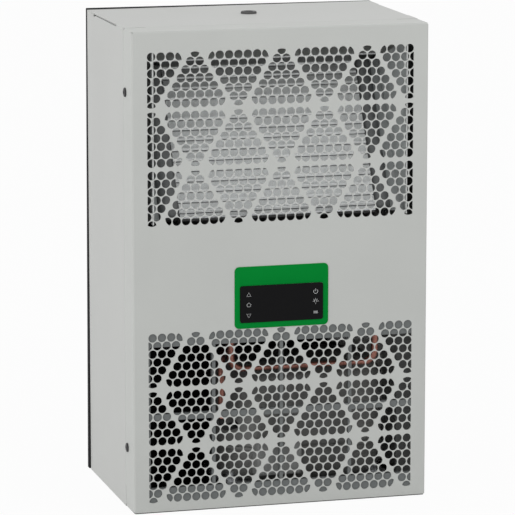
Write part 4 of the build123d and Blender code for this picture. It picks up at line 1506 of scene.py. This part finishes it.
@dataclass
class PlainNodes:
    """Nodes whose own shape is right or nearly so: each gets its finish and its small changes."""

    wall: float = 128.7 * MM
    corner: float = 2.6 * MM
    bulge_side: float = 0.3 * MM
    bulge_top: float = 0.35 * MM
    askew: float = 0.0042
    sleeve: float = 14.0 * MM
    slit: float = 1.6 * MM
    fine_slit: float = 0.85 * MM
    pipe_drop: float = 2.4 * MM
    pipe_thin: float = 0.8
    pipe_radius: float = 3.0 * MM
    pipe_bend: float = 12.0 * MM
    pipe_low: float = 14.0 * MM
    slack: float = 0.3 * MM
    slit_slack: float = 0.05 * MM
    cut_edge: float = 0.1 * MM
    seal_round: float = 0.5 * MM
    upper_wall: float = 246.0 * MM
    side_wall: float = 84.8 * MM
    side_border: float = 101.0 * MM
    border_shift: float = 12.5 * MM
    bar_edges: tuple[Place, ...] = ((16.5 * MM, 1.0 * MM), (81.0 * MM, 0.6 * MM))
    COATS: ClassVar[dict] = {
        Coat.GALVANISED: ("back_panel", "coil_tray", "compressor_base", "condensate_tray"),
        Coat.PLATED: ("mounting_inserts", "compressor_studs"),
        Coat.NUT: ("lifting_nut",),
        Coat.CAP: ("coil_cap",),
        Coat.TERMINAL: ("terminal_cover",),
        Coat.SHELL: ("compressor_upper_shell", "compressor_seam"),
        Coat.SHELL_LOW: ("compressor_lower_shell",),
        Coat.RUBBER: ("compressor_grommets",),
        Coat.RELAY: ("relay_box",),
        Coat.COPPER: ("filter_drier",),
        Coat.SLEEVE: ("liquid_pipe",),
        Coat.COIL: ("evaporator",),
        Coat.HOUSING: ("controller_body", "fan_frame", "fan_rotor", "outlet_louvres"),
        Coat.WIRE: ("fan_guard",),
    }

    def build(self) -> None:
        """Dresses a smooth copy of each node."""
        for coat, nodes in self.COATS.items():
            for node in nodes:
                piece = refined(node, f"{node}_dressed")
                Workshop.dress(Workshop.smooth(piece), coat, node)
        for side in ("left", "right"):
            self._baffle(f"coil_blankoff_{side}")
        self._case()
        self._gasket()
        self._dust_frame()
        self._suction_pipe()
        self._loop_pipe()
        self._partition()

    @staticmethod
    def _two_tone(node: str, coats: tuple[Coat, Coat], second: Callable[[bpy.types.MeshPolygon], bool],
                  piece: bpy.types.Object | None = None) -> None:
        """Dresses a node in two finishes.

        Args:
            node: The node's name.
            coats: Both finishes.
            second: Tells which faces get the second one.
            piece: The piece to dress, or None for a fresh copy of the node.
        """
        piece = piece or refined(node, f"{node}_dressed")
        for coat in coats:
            piece.data.materials.append(coat.value.material())
        for face in piece.data.polygons:
            face.material_index = 1 if second(face) else 0
        Workshop.dress(Workshop.smooth(piece), coats[0], node)

    def _baffle(self, node: str) -> None:
        """Dresses a blanking plate whose baffle's front edge is coloured lighter as a painted highlight."""
        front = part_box(node)[0].y
        self._two_tone(node, (Coat.DARK, Coat.EDGE), lambda face: face.center.y < front + self.cut_edge)

    def _case(self) -> None:
        """Dresses the case's sheets: painted outside, black inside as painted shade, and darker on the
        upright lips as painted shade.
        """
        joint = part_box("top_panel")[0].y
        for side, way in (("left", -1), ("right", 1)):
            self._two_tone(
                f"{side}_side",
                (Coat.CASE, Coat.LIP),
                lambda face, way=way: face.center.x * way < self.wall and face.center.y < joint + MM,
            )
        Workshop.dress(Workshop.smooth(self._squared("top_panel", joint)), Coat.CASE, "top_panel")
        floor = self._squared("bottom_panel", joint)
        self._two_tone("bottom_panel", (Coat.CASE, Coat.LINING), lambda face: face.normal.z > 0.5, floor)

    def _squared(self, node: str, joint: float) -> bpy.types.Object:
        """Copies a sheet, makes its front corners square where they meet the cover and its slits fine.

        Args:
            node: The sheet's node.
            joint: Y of the cover's joint.

        Returns:
            The copy.
        """
        piece = refined(node, f"{node}_dressed")
        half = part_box(node)[1].x
        for vertex in piece.data.vertices:
            if vertex.co.y < joint + self.corner and abs(vertex.co.x) > half - self.corner:
                vertex.co.x = math.copysign(half, vertex.co.x)
                vertex.co.y = joint
            elif abs(half - self.slit - abs(vertex.co.x)) < self.slit_slack:
                vertex.co.x = math.copysign(half - self.fine_slit, vertex.co.x)
        shape = bmesh.new()
        shape.from_mesh(piece.data)
        bmesh.ops.remove_doubles(shape, verts=shape.verts, dist=WELD)
        shape.to_mesh(piece.data)
        shape.free()
        return piece

    def _gasket(self) -> None:
        """Dresses the foam seal, which is glued on a little askew."""
        piece = refined("rear_gasket", "rear_gasket_dressed")
        low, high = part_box("rear_gasket")
        middle = (low.z + high.z) / 2
        wide = 1 + 2 * self.bulge_side / (high.x - low.x)
        tall = 1 + 2 * self.bulge_top / (high.z - low.z)
        for vertex in piece.data.vertices:
            x, y, z = vertex.co
            up = z - middle
            vertex.co = (x * wide + up * self.askew, y, middle + up * tall - x * self.askew)
        Workshop.bevel(piece, self.seal_round, 3)
        Workshop.dress(Workshop.smooth(Workshop.baked(piece)), Coat.SEAL, "rear_gasket")

    def _dust_frame(self) -> None:
        """Dresses the dust frame; two bars hang a little lower and it reaches further to the right."""
        piece = refined("dust_frame", "dust_frame_dressed")
        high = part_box("dust_frame")[1].z
        for vertex in piece.data.vertices:
            depth = high - vertex.co.z
            for low, drop in self.bar_edges:
                if abs(depth - low) < self.slack:
                    vertex.co.z -= drop
            if vertex.co.x > self.side_border:
                vertex.co.x += self.border_shift
        Workshop.dress(Workshop.smooth(piece), Coat.FRAME, "dust_frame")

    def _loop_pipe(self) -> None:
        """Dresses the loop pipe; its crossing sags a little and is drawn thinner."""
        piece = refined("loop_pipe", "loop_pipe_dressed")
        low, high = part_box("loop_pipe")
        middle = low.z + self.pipe_radius
        top = low.z + 2 * self.pipe_radius + self.slack
        for vertex in piece.data.vertices:
            x, _, z = vertex.co
            if z < low.z + self.pipe_low:
                crossing = z < top and low.x + self.pipe_bend < x < high.x - self.pipe_bend
                z = middle + (z - middle) * self.pipe_thin if crossing else z
                vertex.co.z = z - self.pipe_drop
        Workshop.dress(Workshop.smooth(piece), Coat.COPPER, "loop_pipe")

    def _partition(self) -> None:
        """Dresses the inner wall: grey as painted light behind the coil and at the right, black as painted
        shade elsewhere.
        """
        shape = bmesh.new()
        shape.from_mesh(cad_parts["partition"].data)
        for normal, reach in (((0.0, 0.0, 1.0), self.upper_wall), ((1.0, 0.0, 0.0), self.side_wall)):
            geometry = shape.verts[:] + shape.edges[:] + shape.faces[:]
            bmesh.ops.bisect_plane(shape, geom=geometry, plane_co=Vector(normal) * reach, plane_no=normal)
        piece = Workshop.from_bmesh("partition_dressed", shape)
        piece.data.materials.clear()
        self._two_tone(
            "partition",
            (Coat.LINING, Coat.WALL),
            lambda face: face.center.z > self.upper_wall or face.center.x > self.side_wall,
            piece,
        )

    def _suction_pipe(self) -> None:
        """Dresses the suction pipe, whose lower end has a black sleeve."""
        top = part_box("suction_pipe")[0].z + self.sleeve
        self._two_tone("suction_pipe", (Coat.COPPER, Coat.SLEEVE), lambda face: face.center.z < top)


@dataclass(frozen=True)
class Lamp:
    """A soft rectangular lamp; places and sizes in metres, power in watts."""

    name: str
    place: Place3
    aim: Place3
    size: Place
    power: float

    def build(self) -> None:
        """Adds the lamp."""
        data = bpy.data.lights.new(self.name, "AREA")
        data.shape = "RECTANGLE"
        data.size, data.size_y = self.size
        data.energy = self.power
        lamp = Workshop.add(self.name, data)
        lamp.location = self.place
        lamp.rotation_euler = (Vector(self.aim) - Vector(self.place)).to_track_quat("-Z", "Y").to_euler()


@dataclass
class Studio:
    """Camera, lamps, floor and world."""

    sizes: CaseSizes
    focal_length: float = 249.93
    sensor: float = 36.0
    camera_x: float = -0.8143
    camera_distance: float = 2.8816
    camera_height: float = 0.7755
    azimuth: float = 15.388
    elevation: float = 10.566
    sky: float = 0.78
    floor_gap: float = 0.0004
    floor_grey: float = 0.7
    floor_white: float = 0.95
    floor_reach: float = 6.0
    OUTSIDE: ClassVar[tuple[Lamp, ...]] = (
        Lamp("side_lamp", (-2.6, -1.7, 0.7), (0.0, 0.0, 0.2), (2.0, 2.0), 27.0),
        Lamp("front_lamp", (0.35, -0.55, 0.75), (0.1, -0.09, 0.41), (0.3, 0.3), 0.5),
    )
    # Name, X in metres, millimetres behind the front, millimetres from the top, size and power
    INSIDE: ClassVar[tuple[tuple[str, float, float, float, Place, float], ...]] = (
        ("coil_lamp", 0.0, 1.5, 88.0, (0.2, 0.12), 0.018),
        ("shell_lamp", 0.108, 9.0, 330.0, (0.03, 0.14), 0.006),
        ("terminal_lamp", -0.05, 9.0, 364.0, (0.05, 0.05), 0.006),
    )

    def build(self) -> None:
        """Sets the whole stage."""
        self._camera()
        self._world()
        self._floor()
        for lamp in self.OUTSIDE:
            lamp.build()
        for name, x, depth, down, size, power in self.INSIDE:
            level = self.sizes.level(down)
            Lamp(name, (x, self.sizes.behind(depth), level), (x, 1.0, level), size, power).build()
        bpy.context.scene.view_settings.view_transform = "Standard"

    def _camera(self) -> None:
        """Puts the camera where the photograph was taken."""
        data = bpy.data.cameras.new("camera")
        data.lens = self.focal_length
        data.sensor_width = self.sensor
        data.clip_end = 50.0
        camera = Workshop.add("camera", data)
        camera.location = (self.camera_x, self.sizes.front - self.camera_distance, self.camera_height)
        turn = math.radians(self.azimuth)
        drop = math.radians(self.elevation)
        forward = Vector((math.sin(turn) * math.cos(drop), math.cos(turn) * math.cos(drop), -math.sin(drop)))
        camera.rotation_euler = forward.to_track_quat("-Z", "Y").to_euler()
        bpy.context.scene.camera = camera

    def _world(self) -> None:
        """Builds even light, white where the camera sees it."""
        world = bpy.data.worlds.new("studio")
        world.use_nodes = True
        world.node_tree.nodes.clear()
        bpy.context.scene.world = world
        tree = NodeTree(world.node_tree)
        light, white = (
            tree.node("ShaderNodeBackground", None, {"Color": (1.0, 1.0, 1.0, 1.0), "Strength": strength})
            for strength in (self.sky, 1.0)
        )
        tree.node("ShaderNodeOutputWorld", None, {"Surface": tree.shown(light, white, 1.0)})

    def _floor(self) -> None:
        """Builds a white floor that keeps a little of the unit's shadow."""
        shape = bmesh.new()
        bmesh.ops.create_grid(shape, x_segments=1, y_segments=1, size=self.floor_reach)
        floor = Workshop.from_bmesh("floor", shape)
        floor.data.transform(Matrix.Translation((0.0, 0.0, -self.floor_gap)))
        tree = ShaderTree("floor")
        matt = tree.node("ShaderNodeBsdfDiffuse", None, {"Color": (*(self.floor_grey,) * 3, 1.0)})
        glow = tree.node("ShaderNodeEmission", None, {"Color": (1.0, 1.0, 1.0, 1.0), "Strength": 1.0})
        tree.node("ShaderNodeOutputMaterial", None, {"Surface": tree.shown(matt, glow, self.floor_white)})
        floor.data.materials.append(tree.material)


def main() -> None:
    """Builds the unit and its stage."""
    logging.basicConfig(level=logging.INFO, format="%(message)s")
    sizes = CaseSizes()
    Studio(sizes).build()
    Cover(sizes, Perforation()).build()
    OperatingPanel(sizes).build()
    Condenser(sizes).build()
    Fasteners(sizes).build()
    PlainNodes().build()


if __name__ == "__main__":
    main()
